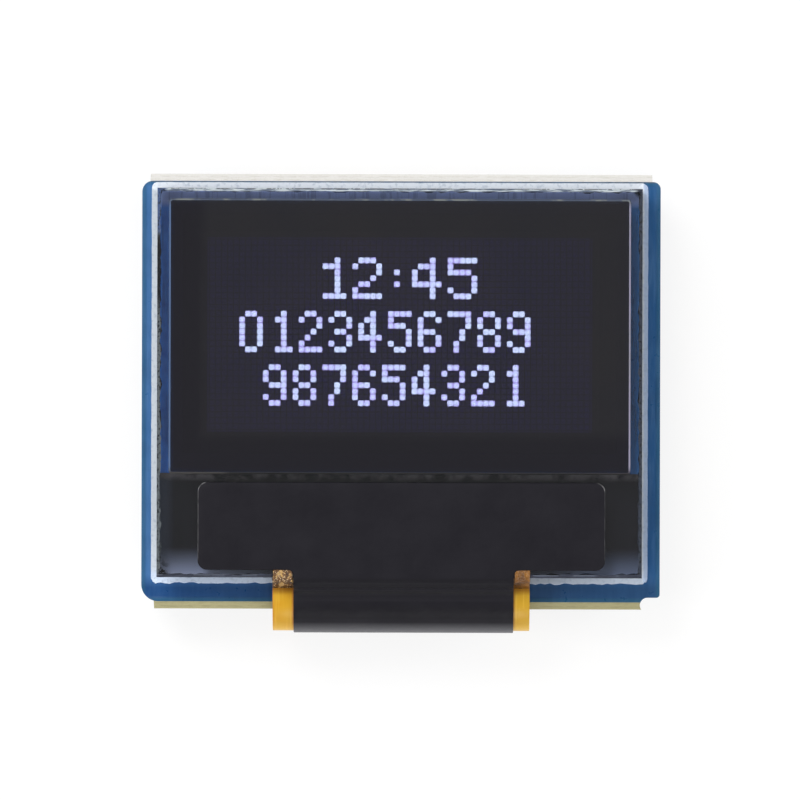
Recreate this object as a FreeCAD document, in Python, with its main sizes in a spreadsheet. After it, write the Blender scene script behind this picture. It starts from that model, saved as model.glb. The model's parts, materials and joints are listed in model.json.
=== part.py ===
"""Small OLED module: a 64 by 32 dot display panel on a circuit board.

Millimetres. The origin is the centre of the board's back face, +Z points out of the
display, +Y to the display's top edge, away from the folded flex.
"""

import FreeCAD, Part
import math
import os
import re

import Sketcher
from FreeCAD import Placement, Rotation, Vector

SIZES = {
    # circuit board, finished with its solder mask
    "board_width": 15.3,
    "board_height": 12.85,
    "board_thickness": 1.2,
    "mask_thickness": 0.03,
    "mask_gap": 0.04,
    "score_width": 0.22,
    "score_depth": 0.36,
    "corner_top_left": 0.32,
    "corner_top_right": 0.22,
    "corner_bottom_left": 0.5,
    "strip_inset": 0.24,
    "strip_inset_low": 0.37,
    "notch_width": 0.36,
    "notch_rise": 0.14,
    "notch_corner": 0.1,
    "router_radius": 0.22,
    "frame_line": 0.17,
    "frame_gap": 0.025,
    "frame_corner": 0.18,
    "ink_thickness": 0.02,
    # display panel
    "panel_x": -0.04,
    "panel_top_inset": 0.455,
    "side_margin": 1.53,
    "top_margin": 1.5,
    "bottom_margin": 1.45,
    "ledge_height": 2.89,
    "glass_thickness": 0.5,
    "cap_thickness": 0.5,
    "cavity_depth": 0.25,
    "seal_width": 0.75,
    "seal_thickness": 0.03,
    "desiccant_thickness": 0.15,
    "desiccant_margin": 0.5,
    "polarizer_thickness": 0.18,
    "polarizer_side_inset": 0.345,
    "polarizer_top_inset": 0.31,
    "polarizer_ledge_gap": 0.15,
    "polarizer_corner": 0.12,
    # dot matrix
    "dot_pitch": 0.175,
    "dot_size": 0.155,
    "dot_thickness": 0.01,
    "emitter_thickness": 0.015,
    "emitter_border": 0.06,
    # what holds the panel on the board
    "adhesive_thickness": 0.15,
    "adhesive_inset": 0.4,
    "pad_side_inset": 0.32,
    "pad_top_gap": 0.08,
    "pad_bottom_inset": 0.42,
    # driver chip on the ledge
    "chip_length": 6.8,
    "chip_width": 0.9,
    "chip_height": 0.3,
    "chip_gap": 0.45,
    "bond_thickness": 0.02,
    # flex and its fold
    "flex_width": 7.57,
    "flex_x": 0.02,
    "flex_thickness": 0.1,
    "flex_bond": 1.0,
    "flex_tail": 2.9,
    "fold_overhang": 0.7,
    "contact_pitch": 0.5,
    "contact_width": 0.3,
    "contact_length": 1.1,
    "contact_thickness": 0.02,
    "contact_end_gap": 0.04,
    "solder_film": 0.04,
    "solder_toe": 0.28,
    # black tape
    "tape_thickness": 0.06,
    "tape_left_inset": 1.21,
    "tape_right_inset": 1.083,
    "tape_gap": 0.09,
    "tape_end_gap": 0.22,
    "tape_corner": 0.28,
    "neck_width": 6.48,
    "neck_x": 0.09,
    "neck_corner": 0.16,
    "step_start": 0.02,
    "step_run": 0.56,
    "tape_tail": 0.55,
    # glue along the panel's lower edge
    "glue_height": 0.28,
    "glue_length": 0.32,
    # copper on the board's back
    "pad_rise": 0.01,
    "pad_overlap": 0.05,
    "interface_pitch": 2.54,
    "interface_pad_width": 1.5,
    "interface_pad_length": 2.0,
    "interface_edge_gap": 0.45,
    # chip parts
    "large_length": 1.6,
    "large_width": 0.8,
    "large_height": 0.8,
    "large_terminal": 0.35,
    "small_length": 1.0,
    "small_width": 0.5,
    "small_height": 0.5,
    "small_terminal": 0.25,
    "resistor_length": 1.0,
    "resistor_width": 0.5,
    "resistor_height": 0.33,
    "resistor_terminal": 0.22,
    "plating": 0.02,
    "overcoat_thickness": 0.03,
    "part_film": 0.02,
    "fillet_length": 0.2,
    "fillet_share": 0.6,
    "flank_side_inset": 1.7,
    "flank_bottom_inset": 2.525,
    "row_top_inset": 4.675,
    "row_side_inset": 1.9,
    "row_first_gap": 1.55,
    "row_pitch": 1.2,
    "inner_resistor_x": 2.3,
    "inner_resistor_bottom_inset": 4.825,
    "outer_resistor_side_inset": 3.1,
    "outer_resistor_bottom_inset": 5.225,
    # three-lead regulator
    "regulator_side_inset": 2.95,
    "regulator_length": 2.9,
    "regulator_depth": 1.3,
    "regulator_height": 0.85,
    "regulator_standoff": 0.06,
    "regulator_chamfer": 0.12,
    "lead_width": 0.4,
    "lead_thickness": 0.13,
    "lead_span": 2.4,
    "lead_pitch": 1.9,
    "lead_foot": 0.3,
    "lead_pad_margin": 0.1,
}

# chip parts on the board's back: kind, x, y, turned a quarter turn
FLANK_X, FLANK_Y = "(board_width / 2 - flank_side_inset)", "(flank_bottom_inset - board_height / 2)"
ROW_X, ROW_Y = "(board_width / 2 - row_side_inset)", "(board_height / 2 - row_top_inset)"
SMALL_X = f"({ROW_X} - row_first_gap)"
OUTER_X = "(board_width / 2 - outer_resistor_side_inset)"
OUTER_Y = "(outer_resistor_bottom_inset - board_height / 2)"
INNER_Y = "(inner_resistor_bottom_inset - board_height / 2)"
CHIP_PARTS = {
    "supply_capacitor": ("large", f"(0 - {FLANK_X})", FLANK_Y, True),
    "panel_capacitor": ("large", FLANK_X, FLANK_Y, True),
    "input_capacitor": ("large", ROW_X, ROW_Y, True),
    "pump_capacitor_a": ("small", SMALL_X, ROW_Y, True),
    "pump_capacitor_b": ("small", f"({SMALL_X} - row_pitch)", ROW_Y, True),
    "logic_capacitor": ("small", f"({SMALL_X} - 2 * row_pitch)", ROW_Y, True),
    "current_resistor": ("resistor", OUTER_X, OUTER_Y, False),
    "reset_resistor": ("resistor", "inner_resistor_x", INNER_Y, False),
    "pull_up_resistor_a": ("resistor", "(0 - inner_resistor_x)", INNER_Y, False),
    "pull_up_resistor_b": ("resistor", f"(0 - {OUTER_X})", OUTER_Y, False),
}

COLUMNS, ROWS = 64, 32
CONTACTS = 14
INTERFACE_PADS = 4

# plain dot-matrix digits, four dots wide and seven high, row by row
DIGITS = {
    "0": ".##. #..# #..# #..# #..# #..# .##.",
    "1": "..#. .##. ..#. ..#. ..#. ..#. .###",
    "2": ".##. #..# ...# ..#. .#.. #... ####",
    "3": ".##. #..# ...# .##. ...# #..# .##.",
    "4": "..#. .##. #.#. #.#. #### ..#. ..#.",
    "5": "#### #... ###. ...# ...# #..# .##.",
    "6": ".##. #..# #... ###. #..# #..# .##.",
    "7": "#### ...# ...# ..#. ..#. .#.. .#..",
    "8": ".##. #..# #..# .##. #..# #..# .##.",
    "9": ".##. #..# #..# .### ...# #..# .##.",
    ":": ".. .. #. .. #. .. ..",
}
# digits, first column, first row, columns from digit to digit, widened by one column
DISPLAY_LINES = [
    ("12", 18, 3, 6, True),
    (":", 31, 3, 6, False),
    ("45", 34, 3, 6, True),
    ("0123456789", 5, 12, 5, False),
    ("987654321", 9, 21, 5, False),
]

# heights above the board's back face and places that several pieces share
CORE_FRONT = "(board_thickness - mask_thickness)"
CAP_BACK = "(board_thickness + adhesive_thickness)"
CAP_FRONT = f"({CAP_BACK} + cap_thickness)"
GLASS_BACK = f"({CAP_FRONT} + seal_thickness)"
GLASS_FRONT = f"({GLASS_BACK} + glass_thickness)"
FLEX_FRONT = f"({GLASS_BACK} - bond_thickness)"
CHIP_BACK = f"({FLEX_FRONT} - chip_height)"
PANEL_WIDTH = f"({COLUMNS} * dot_pitch + 2 * side_margin)"
PANEL_LEFT, PANEL_RIGHT = f"(panel_x - {PANEL_WIDTH} / 2)", f"(panel_x + {PANEL_WIDTH} / 2)"
PANEL_TOP = "(board_height / 2 - panel_top_inset)"
MATRIX_Y = f"({PANEL_TOP} - top_margin - {ROWS} * dot_pitch / 2)"
CAP_BOTTOM = f"({MATRIX_Y} - {ROWS} * dot_pitch / 2 - bottom_margin)"
PANEL_BOTTOM = f"({CAP_BOTTOM} - ledge_height)"
FACE_TOP = "(board_height / 2 - score_width)"
FACE_BOTTOM = f"(0 - {FACE_TOP})"
TAIL_GAP = "(pad_rise + solder_film)"
FOLD_RADIUS = f"(({FLEX_FRONT} + {TAIL_GAP}) / 2)"
FOLD_Z = f"(({FLEX_FRONT} - {TAIL_GAP} - flex_thickness) / 2)"
FOLD_Y = f"({FOLD_RADIUS} + flex_thickness / 2 + tape_thickness - board_height / 2 - fold_overhang)"
TAIL_END = f"({FOLD_Y} + flex_tail)"
PART_BACK = "(0 - pad_rise - part_film)"
REGULATOR_X = "(regulator_side_inset - board_width / 2)"

doc = FreeCAD.newDocument("small_oled_module")
sheet = doc.addObject("Spreadsheet::Sheet", "Sizes")
for row, (name, size) in enumerate(SIZES.items(), start=1):
    sheet.set(f"A{row}", name)
    sheet.set(f"B{row}", str(size))
    sheet.setAlias(f"B{row}", name)
doc.recompute()

nodes = []


def bound(formula):
    """The formula with each size name pointing at its cell."""
    return re.sub(r"[a-z_]{3,}", lambda m: f"Sizes.{m[0]}" if m[0] in SIZES else m[0], formula)


def number(formula):
    """What the formula gives with the sheet's present values."""
    return float(sheet.evalExpression(bound(formula)))


def keep(feature, label):
    """Marks a finished sub-part and gives it the name of its file."""
    feature.Label = label
    nodes.append(feature)
    return feature


def origin_plane(body, role):
    return next(item for item in body.Origin.OriginFeatures if item.Role == role)


def outline_sketch(body, plane, offset, corners):
    """A closed sketch through corners, each an x and a y formula.

    A corner with a third and fourth entry starts an arc of that radius; the fourth is 1
    where the arc turns left and -1 where it turns right.
    """
    sketch = body.newObject("Sketcher::SketchObject", "Sketch")
    sketch.AttachmentSupport = (origin_plane(body, plane), [""])
    sketch.MapMode = "FlatFace"
    sketch.setExpression("AttachmentOffset.Base.z", bound(offset))
    points = [Vector(number(corner[0]), number(corner[1]), 0) for corner in corners]
    starts, ends = [], []
    for index, corner in enumerate(corners):
        here, there = points[index], points[(index + 1) % len(points)]
        if len(corner) == 2:
            sketch.addGeometry(Part.LineSegment(here, there), False)
            starts.append(1)
            ends.append(2)
            continue
        radius, turn = number(corner[2]), corner[3]
        chord = there - here
        rise = math.sqrt(max(radius**2 - (chord.Length / 2) ** 2, 0))
        side = Vector(-chord.y, chord.x, 0).normalize() * turn * rise
        centre = here + chord * 0.5 + side
        first, last = (here, there) if turn > 0 else (there, here)
        angles = [math.atan2(p.y - centre.y, p.x - centre.x) for p in (first, last)]
        if angles[1] < angles[0]:
            angles[1] += 2 * math.pi
        circle = Part.Circle(centre, Vector(0, 0, 1), radius)
        sketch.addGeometry(Part.ArcOfCircle(circle, *angles), False)
        starts.append(1 if turn > 0 else 2)
        ends.append(2 if turn > 0 else 1)
    for index, corner in enumerate(corners):
        after = (index + 1) % len(corners)
        sketch.addConstraint(
            Sketcher.Constraint("Coincident", index, ends[index], after, starts[after])
        )
        for axis, formula, value in zip("XY", corner[:2], points[index]):
            place = sketch.addConstraint(
                Sketcher.Constraint(f"Distance{axis}", -1, 1, index, starts[index], value)
            )
            sketch.setExpression(f"Constraints[{place}]", bound(formula))
        if len(corner) == 4:
            place = sketch.addConstraint(Sketcher.Constraint("Radius", index, number(corner[2])))
            sketch.setExpression(f"Constraints[{place}]", bound(corner[2]))
    return sketch


def rectangle(left, bottom, right, top):
    return [(left, bottom), (right, bottom), (right, top), (left, top)]


def centred(x, y, width, height):
    """A rectangle's corners from its centre and sides."""
    return rectangle(
        f"{x} - {width} / 2", f"{y} - {height} / 2", f"{x} + {width} / 2", f"{y} + {height} / 2"
    )


def new_body(name):
    body = doc.addObject("PartDesign::Body", name)
    body.AllowCompound = True
    return body


def pad(body, corners, start, length, plane="XY_Plane"):
    """Adds an outline's extrusion from start over length along the plane's normal."""
    feature = body.newObject("PartDesign::Pad", "Pad")
    feature.Profile = outline_sketch(body, plane, start, corners)
    feature.setExpression("Length", bound(length))
    doc.recompute()
    return feature


def pocket(body, corners, start, length, plane="XY_Plane"):
    """Cuts an outline's extrusion from start over length along the plane's normal."""
    before = body.Shape.Volume
    feature = body.newObject("PartDesign::Pocket", "Pocket")
    feature.Profile = outline_sketch(body, plane, start, corners)
    feature.Reversed = True
    feature.setExpression("Length", bound(length))
    doc.recompute()
    if not body.Shape.Volume < before:
        raise RuntimeError(f"the pocket cut nothing from {body.Name}")
    return feature


def upright_edges(shape, places):
    """Names of the edges along Z that stand at the given x, y places."""
    names = []
    for x, y in places:
        found = [
            f"Edge{index}"
            for index, edge in enumerate(shape.Edges, start=1)
            if all(math.hypot(v.X - x, v.Y - y) < 1e-4 for v in edge.Vertexes)
        ]
        if len(found) != 1:
            raise RuntimeError(f"no single upright edge at {x}, {y}")
        names += found
    return names


def round_upright(body, places, radius):
    """Rounds the upright edges at places, each an x and a y formula."""
    base = body.Tip
    at = [(number(x), number(y)) for x, y in places]
    feature = body.newObject("PartDesign::Fillet", "Fillet")
    feature.Base = (base, upright_edges(base.Shape, at))
    feature.setExpression("Radius", bound(radius))
    doc.recompute()
    return feature


def box(name, left, bottom, back, length, width, height):
    """A box bound to the sheet by its lowest corner and its three sides."""
    feature = doc.addObject("Part::Box", name)
    for cell, formula in (("Length", length), ("Width", width), ("Height", height)):
        feature.setExpression(cell, bound(formula))
    for axis, formula in zip("xyz", (left, bottom, back)):
        feature.setExpression(f"Placement.Base.{axis}", bound(formula))
    return feature


def centred_box(name, x, y, back, length, width, height):
    return box(name, f"{x} - {length} / 2", f"{y} - {width} / 2", back, length, width, height)


def compound(name, features):
    group = doc.addObject("Part::Compound", name)
    group.Links = features
    return group


def cut(name, base, tool):
    feature = doc.addObject("Part::Cut", name)
    feature.Base, feature.Tool = base, tool
    return feature


def face_plate(name, start, thickness):
    """A plate with the board face's outline: three rounded corners and the router's notch."""
    body = new_body(name)
    half = "board_width / 2"
    pad(body, rectangle(f"0 - {half}", FACE_BOTTOM, half, FACE_TOP), start, thickness)
    round_upright(body, [(f"0 - {half}", FACE_TOP)], "corner_top_left")
    round_upright(body, [(half, FACE_TOP)], "corner_top_right")
    round_upright(body, [(f"0 - {half}", FACE_BOTTOM)], "corner_bottom_left")
    return body


def router_notch(body, start, thickness):
    """The pass of the router that freed the board's lower right corner."""
    reach = "(board_width / 2 - notch_width)"
    top = f"({FACE_BOTTOM} + notch_rise)"
    outside = "(board_width / 2 + router_radius)"
    low = f"({top} - 2 * router_radius)"
    middle = f"({top} - router_radius)"
    corners = [
        (reach, top, "router_radius", 1),
        (f"{reach} - router_radius", middle, "router_radius", 1),
        (reach, low),
        (outside, low),
        (outside, top),
    ]
    pocket(body, corners, start, thickness)
    round_upright(body, [("board_width / 2", top)], "notch_corner")


def score_strip(body, side):
    """The snapped web that the V-cuts leave along one long edge of the board."""
    face = FACE_TOP if side > 0 else FACE_BOTTOM
    edge = f"(board_height / 2 * {side})"
    inside = f"({face} - {side} * score_width)"
    back = "mask_thickness"
    corners = [
        (inside, back),
        (face, back),
        (edge, f"{back} + score_depth"),
        (edge, f"{CORE_FRONT} - score_depth"),
        (face, CORE_FRONT),
        (inside, CORE_FRONT),
    ]
    left = "strip_inset - board_width / 2"
    if side < 0:
        left = "strip_inset_low - board_width / 2"
    pad(body, corners, left, f"board_width / 2 - strip_inset - ({left})", "YZ_Plane")


def make_circuit_board():
    body = face_plate("circuit_board", "mask_thickness", "board_thickness - 2 * mask_thickness")
    score_strip(body, 1)
    score_strip(body, -1)
    router_notch(body, "0 - mask_thickness", "board_thickness + 2 * mask_thickness")
    keep(body, "circuit_board")


def make_front_mask():
    body = face_plate("front_mask", CORE_FRONT, "mask_thickness")
    router_notch(body, CORE_FRONT, "2 * mask_thickness")
    keep(body, "front_solder_mask")


def grown_panel(border):
    """The panel's outline, moved out by a border on each side."""
    return rectangle(
        f"{PANEL_LEFT} - {border}",
        f"{PANEL_BOTTOM} - {border}",
        f"{PANEL_RIGHT} + {border}",
        f"{PANEL_TOP} + {border}",
    )


def inset_cap(inset):
    """The cap glass's outline, moved in by an inset on each side."""
    return rectangle(
        f"{PANEL_LEFT} + {inset}",
        f"{CAP_BOTTOM} + {inset}",
        f"{PANEL_RIGHT} - {inset}",
        f"{PANEL_TOP} - {inset}",
    )


def make_printed_frame():
    border = "(frame_gap + frame_line)"
    body = new_body("printed_frame")
    outer = grown_panel(border)
    pad(body, outer, "board_thickness", "ink_thickness")
    round_upright(body, outer, "frame_corner")
    pocket(body, grown_panel("frame_gap"), "board_thickness", "ink_thickness")
    keep(body, "printed_frame")


def make_glass():
    """The full-size display glass in front and the recessed cap glass behind its upper part."""
    front = new_body("front_glass")
    pad(front, grown_panel("0"), GLASS_BACK, "glass_thickness")
    keep(front, "front_glass")
    cap = new_body("cap_glass")
    pad(cap, inset_cap("0"), CAP_BACK, "cap_thickness")
    pocket(cap, inset_cap("seal_width"), f"{CAP_FRONT} - cavity_depth", "cavity_depth")
    keep(cap, "cap_glass")
    seal = new_body("seal_bead")
    pad(seal, inset_cap("0"), CAP_FRONT, "seal_thickness")
    pocket(seal, inset_cap("seal_width"), CAP_FRONT, "seal_thickness")
    keep(seal, "seal_bead")
    desiccant = new_body("desiccant")
    inset = "(seal_width + desiccant_margin)"
    pad(desiccant, inset_cap(inset), f"{CAP_FRONT} - cavity_depth", "desiccant_thickness")
    keep(desiccant, "desiccant_sheet")


def make_polarizer():
    body = new_body("polarizer_film")
    outline = rectangle(
        f"{PANEL_LEFT} + polarizer_side_inset",
        f"({CAP_BOTTOM} + polarizer_ledge_gap)",
        f"{PANEL_RIGHT} - polarizer_side_inset",
        f"({PANEL_TOP} - polarizer_top_inset)",
    )
    pad(body, outline, GLASS_FRONT, "polarizer_thickness")
    round_upright(body, outline, "polarizer_corner")
    keep(body, "polarizer_film")


def lit_places():
    """Column and row of each lit dot, counted from the display's top left."""
    for digits, first_column, first_row, step, widened in DISPLAY_LINES:
        for index, digit in enumerate(digits):
            for row, dots in enumerate(DIGITS[digit].split()):
                dots = dots[:2] + dots[1:] if widened else dots
                for column, dot in enumerate(dots):
                    if dot == "#":
                        yield first_column + index * step + column, first_row + row


def make_dot_matrix():
    """The emitting layer on the glass's back and, in front of it, the dots that are lit."""
    border = "2 * emitter_border"
    keep(
        centred_box(
            "emitter_layer",
            "panel_x",
            MATRIX_Y,
            f"{GLASS_BACK} - dot_thickness - emitter_thickness",
            f"({COLUMNS} * dot_pitch + {border})",
            f"({ROWS} * dot_pitch + {border})",
            "emitter_thickness",
        ),
        "emitter_layer",
    )
    pitch, size = number("dot_pitch"), number("dot_size")
    left = number(f"panel_x - {COLUMNS} * dot_pitch / 2 + (dot_pitch - dot_size) / 2")
    top = number(f"{MATRIX_Y} + {ROWS} * dot_pitch / 2 - (dot_pitch - dot_size) / 2")
    back = number(f"{GLASS_BACK} - dot_thickness")
    dots = [
        Part.makeBox(
            size,
            size,
            number("dot_thickness"),
            Vector(left + column * pitch, top - size - row * pitch, back),
        )
        for column, row in lit_places()
    ]
    lit = doc.addObject("Part::Feature", "lit_pixels")
    lit.Shape = Part.makeCompound(dots)
    keep(lit, "lit_pixels")


def make_mounting():
    """Adhesive behind the cap glass and the dark pad between board and ledge."""
    adhesive = new_body("adhesive")
    pad(adhesive, inset_cap("adhesive_inset"), "board_thickness", "adhesive_thickness")
    keep(adhesive, "mounting_tape")
    bottom = f"({PANEL_BOTTOM} + pad_bottom_inset)"
    keep(
        box(
            "ledge_pad",
            f"{PANEL_LEFT} + pad_side_inset",
            bottom,
            "board_thickness",
            f"{PANEL_WIDTH} - 2 * pad_side_inset",
            f"{CAP_BOTTOM} - pad_top_gap - {bottom}",
            f"{CHIP_BACK} - board_thickness",
        ),
        "ledge_pad",
    )


def make_driver_chip():
    middle = f"({CAP_BOTTOM} - chip_gap - chip_width / 2)"
    keep(
        centred_box(
            "driver_chip",
            "panel_x",
            middle,
            CHIP_BACK,
            "chip_length",
            "chip_width",
            "chip_height",
        ),
        "driver_chip",
    )
    keep(
        centred_box(
            "chip_bond",
            "panel_x",
            middle,
            FLEX_FRONT,
            "chip_length",
            "chip_width",
            "bond_thickness",
        ),
        "chip_bond",
    )
    keep(
        centred_box(
            "flex_bond",
            "flex_x",
            f"({PANEL_BOTTOM} + flex_bond / 2)",
            FLEX_FRONT,
            "flex_width",
            "flex_bond",
            "bond_thickness",
        ),
        "flex_bond",
    )


def make_flex():
    """The film from the ledge, round the board's lower edge and on to its back."""
    outer = f"({FOLD_RADIUS} + flex_thickness / 2)"
    inner = f"({FOLD_RADIUS} - flex_thickness / 2)"
    start = f"({PANEL_BOTTOM} + flex_bond)"
    corners = [
        (start, f"{FOLD_Z} + {outer}"),
        (FOLD_Y, f"{FOLD_Z} + {outer}", outer, 1),
        (f"{FOLD_Y} - {outer}", FOLD_Z, outer, 1),
        (FOLD_Y, f"{FOLD_Z} - {outer}"),
        (TAIL_END, f"{FOLD_Z} - {outer}"),
        (TAIL_END, f"{FOLD_Z} - {inner}"),
        (FOLD_Y, f"{FOLD_Z} - {inner}", inner, -1),
        (f"{FOLD_Y} - {inner}", FOLD_Z, inner, -1),
        (FOLD_Y, f"{FOLD_Z} + {inner}"),
        (start, f"{FOLD_Z} + {inner}"),
    ]
    body = new_body("flex_cable")
    pad(body, corners, "flex_x - flex_width / 2", "flex_width", "YZ_Plane")
    keep(body, "flex_cable")


def make_tape():
    """One piece of black tape: a head on the ledge and a neck that follows the flex."""
    body = new_body("protective_tape")
    top = f"({CAP_BOTTOM} - tape_gap)"
    bottom = f"({PANEL_BOTTOM} + tape_end_gap)"
    left, right = f"{PANEL_LEFT} + tape_left_inset", f"{PANEL_RIGHT} - tape_right_inset"
    head = rectangle(left, bottom, right, top)
    pad(body, head, GLASS_FRONT, "tape_thickness")
    round_upright(body, head, "tape_corner")
    half = "(tape_thickness / 2)"
    drop = f"({GLASS_FRONT} - {FLEX_FRONT})"
    radius = f"((step_run * step_run + {drop} * {drop}) / (4 * {drop}))"
    lean_y = f"({half} * step_run / (2 * {radius}))"
    lean_z = f"({half} * (1 - {drop} / (2 * {radius})))"
    begin = f"({PANEL_BOTTOM} - step_start)"
    finish = f"({begin} - step_run)"
    middle_y = f"({begin} - step_run / 2)"
    middle_z = f"({GLASS_FRONT} + {half} - {drop} / 2)"
    under = f"({FOLD_RADIUS} + flex_thickness / 2)"
    over = f"({under} + tape_thickness)"
    corners = [
        (bottom, f"{GLASS_FRONT} + tape_thickness"),
        (begin, f"{GLASS_FRONT} + tape_thickness", f"{radius} + {half}", 1),
        (f"{middle_y} - {lean_y}", f"{middle_z} + {lean_z}", f"{radius} - {half}", -1),
        (finish, f"{FLEX_FRONT} + tape_thickness"),
        (FOLD_Y, f"{FOLD_Z} + {over}", over, 1),
        (f"{FOLD_Y} - {over}", FOLD_Z, over, 1),
        (FOLD_Y, f"{FOLD_Z} - {over}"),
        (f"{FOLD_Y} + tape_tail", f"{FOLD_Z} - {over}"),
        (f"{FOLD_Y} + tape_tail", f"{FOLD_Z} - {under}"),
        (FOLD_Y, f"{FOLD_Z} - {under}", under, -1),
        (f"{FOLD_Y} - {under}", FOLD_Z, under, -1),
        (FOLD_Y, f"{FOLD_Z} + {under}"),
        (finish, FLEX_FRONT, f"{radius} + {half}", 1),
        (f"{middle_y} + {lean_y}", f"{middle_z} - {lean_z}", f"{radius} - {half}", -1),
        (begin, GLASS_FRONT),
        (bottom, GLASS_FRONT),
    ]
    pad(body, corners, "neck_x - neck_width / 2", "neck_width", "YZ_Plane")
    sides = [("neck_x - neck_width / 2", bottom), ("neck_x + neck_width / 2", bottom)]
    round_upright(body, sides, "neck_corner")
    keep(body, "protective_tape")


def make_edge_glue():
    """The bead that seals the corner between the glass edge and the flex."""
    corners = [
        (PANEL_BOTTOM, FLEX_FRONT),
        (PANEL_BOTTOM, f"{FLEX_FRONT} + glue_height"),
        (f"{PANEL_BOTTOM} - glue_length", FLEX_FRONT),
    ]
    body = new_body("edge_glue")
    pad(body, corners, "flex_x - flex_width / 2", "flex_width", "YZ_Plane")
    keep(body, "edge_glue")


def contact_row(name, corners):
    """One contact's profile, repeated over all contacts of the flex."""
    body = new_body(name)
    first = f"flex_x - ({CONTACTS} - 1) * contact_pitch / 2 - contact_width / 2"
    base = pad(body, corners, first, "contact_width", "YZ_Plane")
    pattern = body.newObject("PartDesign::LinearPattern", "Contacts")
    pattern.Originals = [base]
    pattern.Direction = (origin_plane(body, "X_Axis"), [""])
    pattern.Occurrences = CONTACTS
    pattern.setExpression("Length", bound(f"({CONTACTS} - 1) * contact_pitch"))
    body.Tip = pattern
    doc.recompute()
    keep(body, name)


def make_contacts():
    """Pads on the board, solder, and the plated fingers at the tail of the flex."""
    board_face = "(0 - pad_rise)"
    flex_in = f"(0 - {TAIL_GAP})"
    flex_out = f"({flex_in} - flex_thickness)"
    start = f"({TAIL_END} - contact_end_gap - contact_length)"
    tip = f"({TAIL_END} + solder_toe)"
    contact_row(
        "flex_pads",
        rectangle(
            f"{start} - pad_overlap", board_face, f"{tip} + pad_overlap", "mask_thickness"
        ),
    )
    contact_row(
        "flex_solder",
        [
            (start, board_face),
            (start, flex_in),
            (TAIL_END, flex_in),
            (TAIL_END, flex_out),
            (f"{TAIL_END} + solder_toe / 2", f"{flex_in} - flex_thickness / 4"),
            (tip, board_face),
        ],
    )
    contact_row(
        "flex_contacts",
        rectangle(
            start,
            f"{flex_out} - contact_thickness",
            f"{TAIL_END} - contact_end_gap",
            flex_out,
        ),
    )


def copper_box(name, x, y, length, width):
    """A pad on the board's back, standing just proud of the mask."""
    return centred_box(name, x, y, "0 - pad_rise", length, width, "mask_thickness + pad_rise")


def mask_window(name, x, y, length, width):
    """The opening in the back mask round a pad."""
    return centred_box(
        name,
        x,
        y,
        "0 - mask_thickness",
        f"({length} + 2 * mask_gap)",
        f"({width} + 2 * mask_gap)",
        "3 * mask_thickness",
    )


def pad_list():
    """Centre and sides of each pad on the back, by the group that it belongs to."""
    places = {"interface_pads": [], "component_pads": []}
    row_y = "(board_height / 2 - interface_edge_gap - interface_pad_length / 2)"
    for index in range(INTERFACE_PADS):
        step = index - (INTERFACE_PADS - 1) / 2
        places["interface_pads"].append(
            (f"({step} * interface_pitch)", row_y, "interface_pad_width", "interface_pad_length")
        )
    for part, (kind, *_, turned) in CHIP_PARTS.items():
        length = f"({kind}_terminal + fillet_length)"
        reach = f"(({kind}_length - {kind}_terminal + fillet_length) / 2)"
        for side in (-1, 1):
            place = chip_place(part, f"({side} * {reach})")
            sides = (f"{kind}_width", length) if turned else (length, f"{kind}_width")
            places["component_pads"].append((*place, *sides))
    for x, side in lead_places():
        middle = f"({ROW_Y} + {side} * (lead_span - lead_foot) / 2)"
        width = "(lead_width + 2 * lead_pad_margin)"
        places["component_pads"].append((x, middle, width, "(lead_foot + 2 * fillet_length)"))
    return places


def chip_place(part, along):
    """A place on a chip part, at a distance along it from its centre."""
    kind, x, y, turned = CHIP_PARTS[part]
    return (x, f"({y} + {along})") if turned else (f"({x} + {along})", y)


def lead_places():
    """The x of each regulator lead and the side that it leaves by."""
    return [
        (f"({REGULATOR_X} - lead_pitch / 2)", -1),
        (f"({REGULATOR_X} + lead_pitch / 2)", -1),
        (REGULATOR_X, 1),
    ]


def make_back_copper_and_mask():
    windows = []
    for group, places in pad_list().items():
        pads = []
        for index, place in enumerate(places):
            pads.append(copper_box(f"{group}_{index}", *place))
            windows.append(mask_window(f"{group}_window_{index}", *place))
        keep(compound(group, pads), group)
    start = f"({TAIL_END} - contact_end_gap - contact_length - pad_overlap)"
    tip = f"({TAIL_END} + solder_toe + pad_overlap)"
    for index in range(CONTACTS):
        step = index - (CONTACTS - 1) / 2
        place = (
            f"(flex_x + {step} * contact_pitch)",
            f"(({start} + {tip}) / 2)",
            "contact_width",
            f"({tip} - {start})",
        )
        windows.append(mask_window(f"contact_window_{index}", *place))
    plate = face_plate("back_mask", "0", "mask_thickness")
    router_notch(plate, "0 - mask_thickness", "3 * mask_thickness")
    keep(cut("back_solder_mask", plate, compound("windows", windows)), "back_solder_mask")


def chip_box(name, part, kind, along, trim, length, back, height):
    """A box of a chip part, its width and height trimmed on each side."""
    x, y = chip_place(part, along)
    width = f"({kind}_width - 2 * {trim})"
    sides = (width, length) if CHIP_PARTS[part][-1] else (length, width)
    return centred_box(name, x, y, back, *sides, height)


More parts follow.
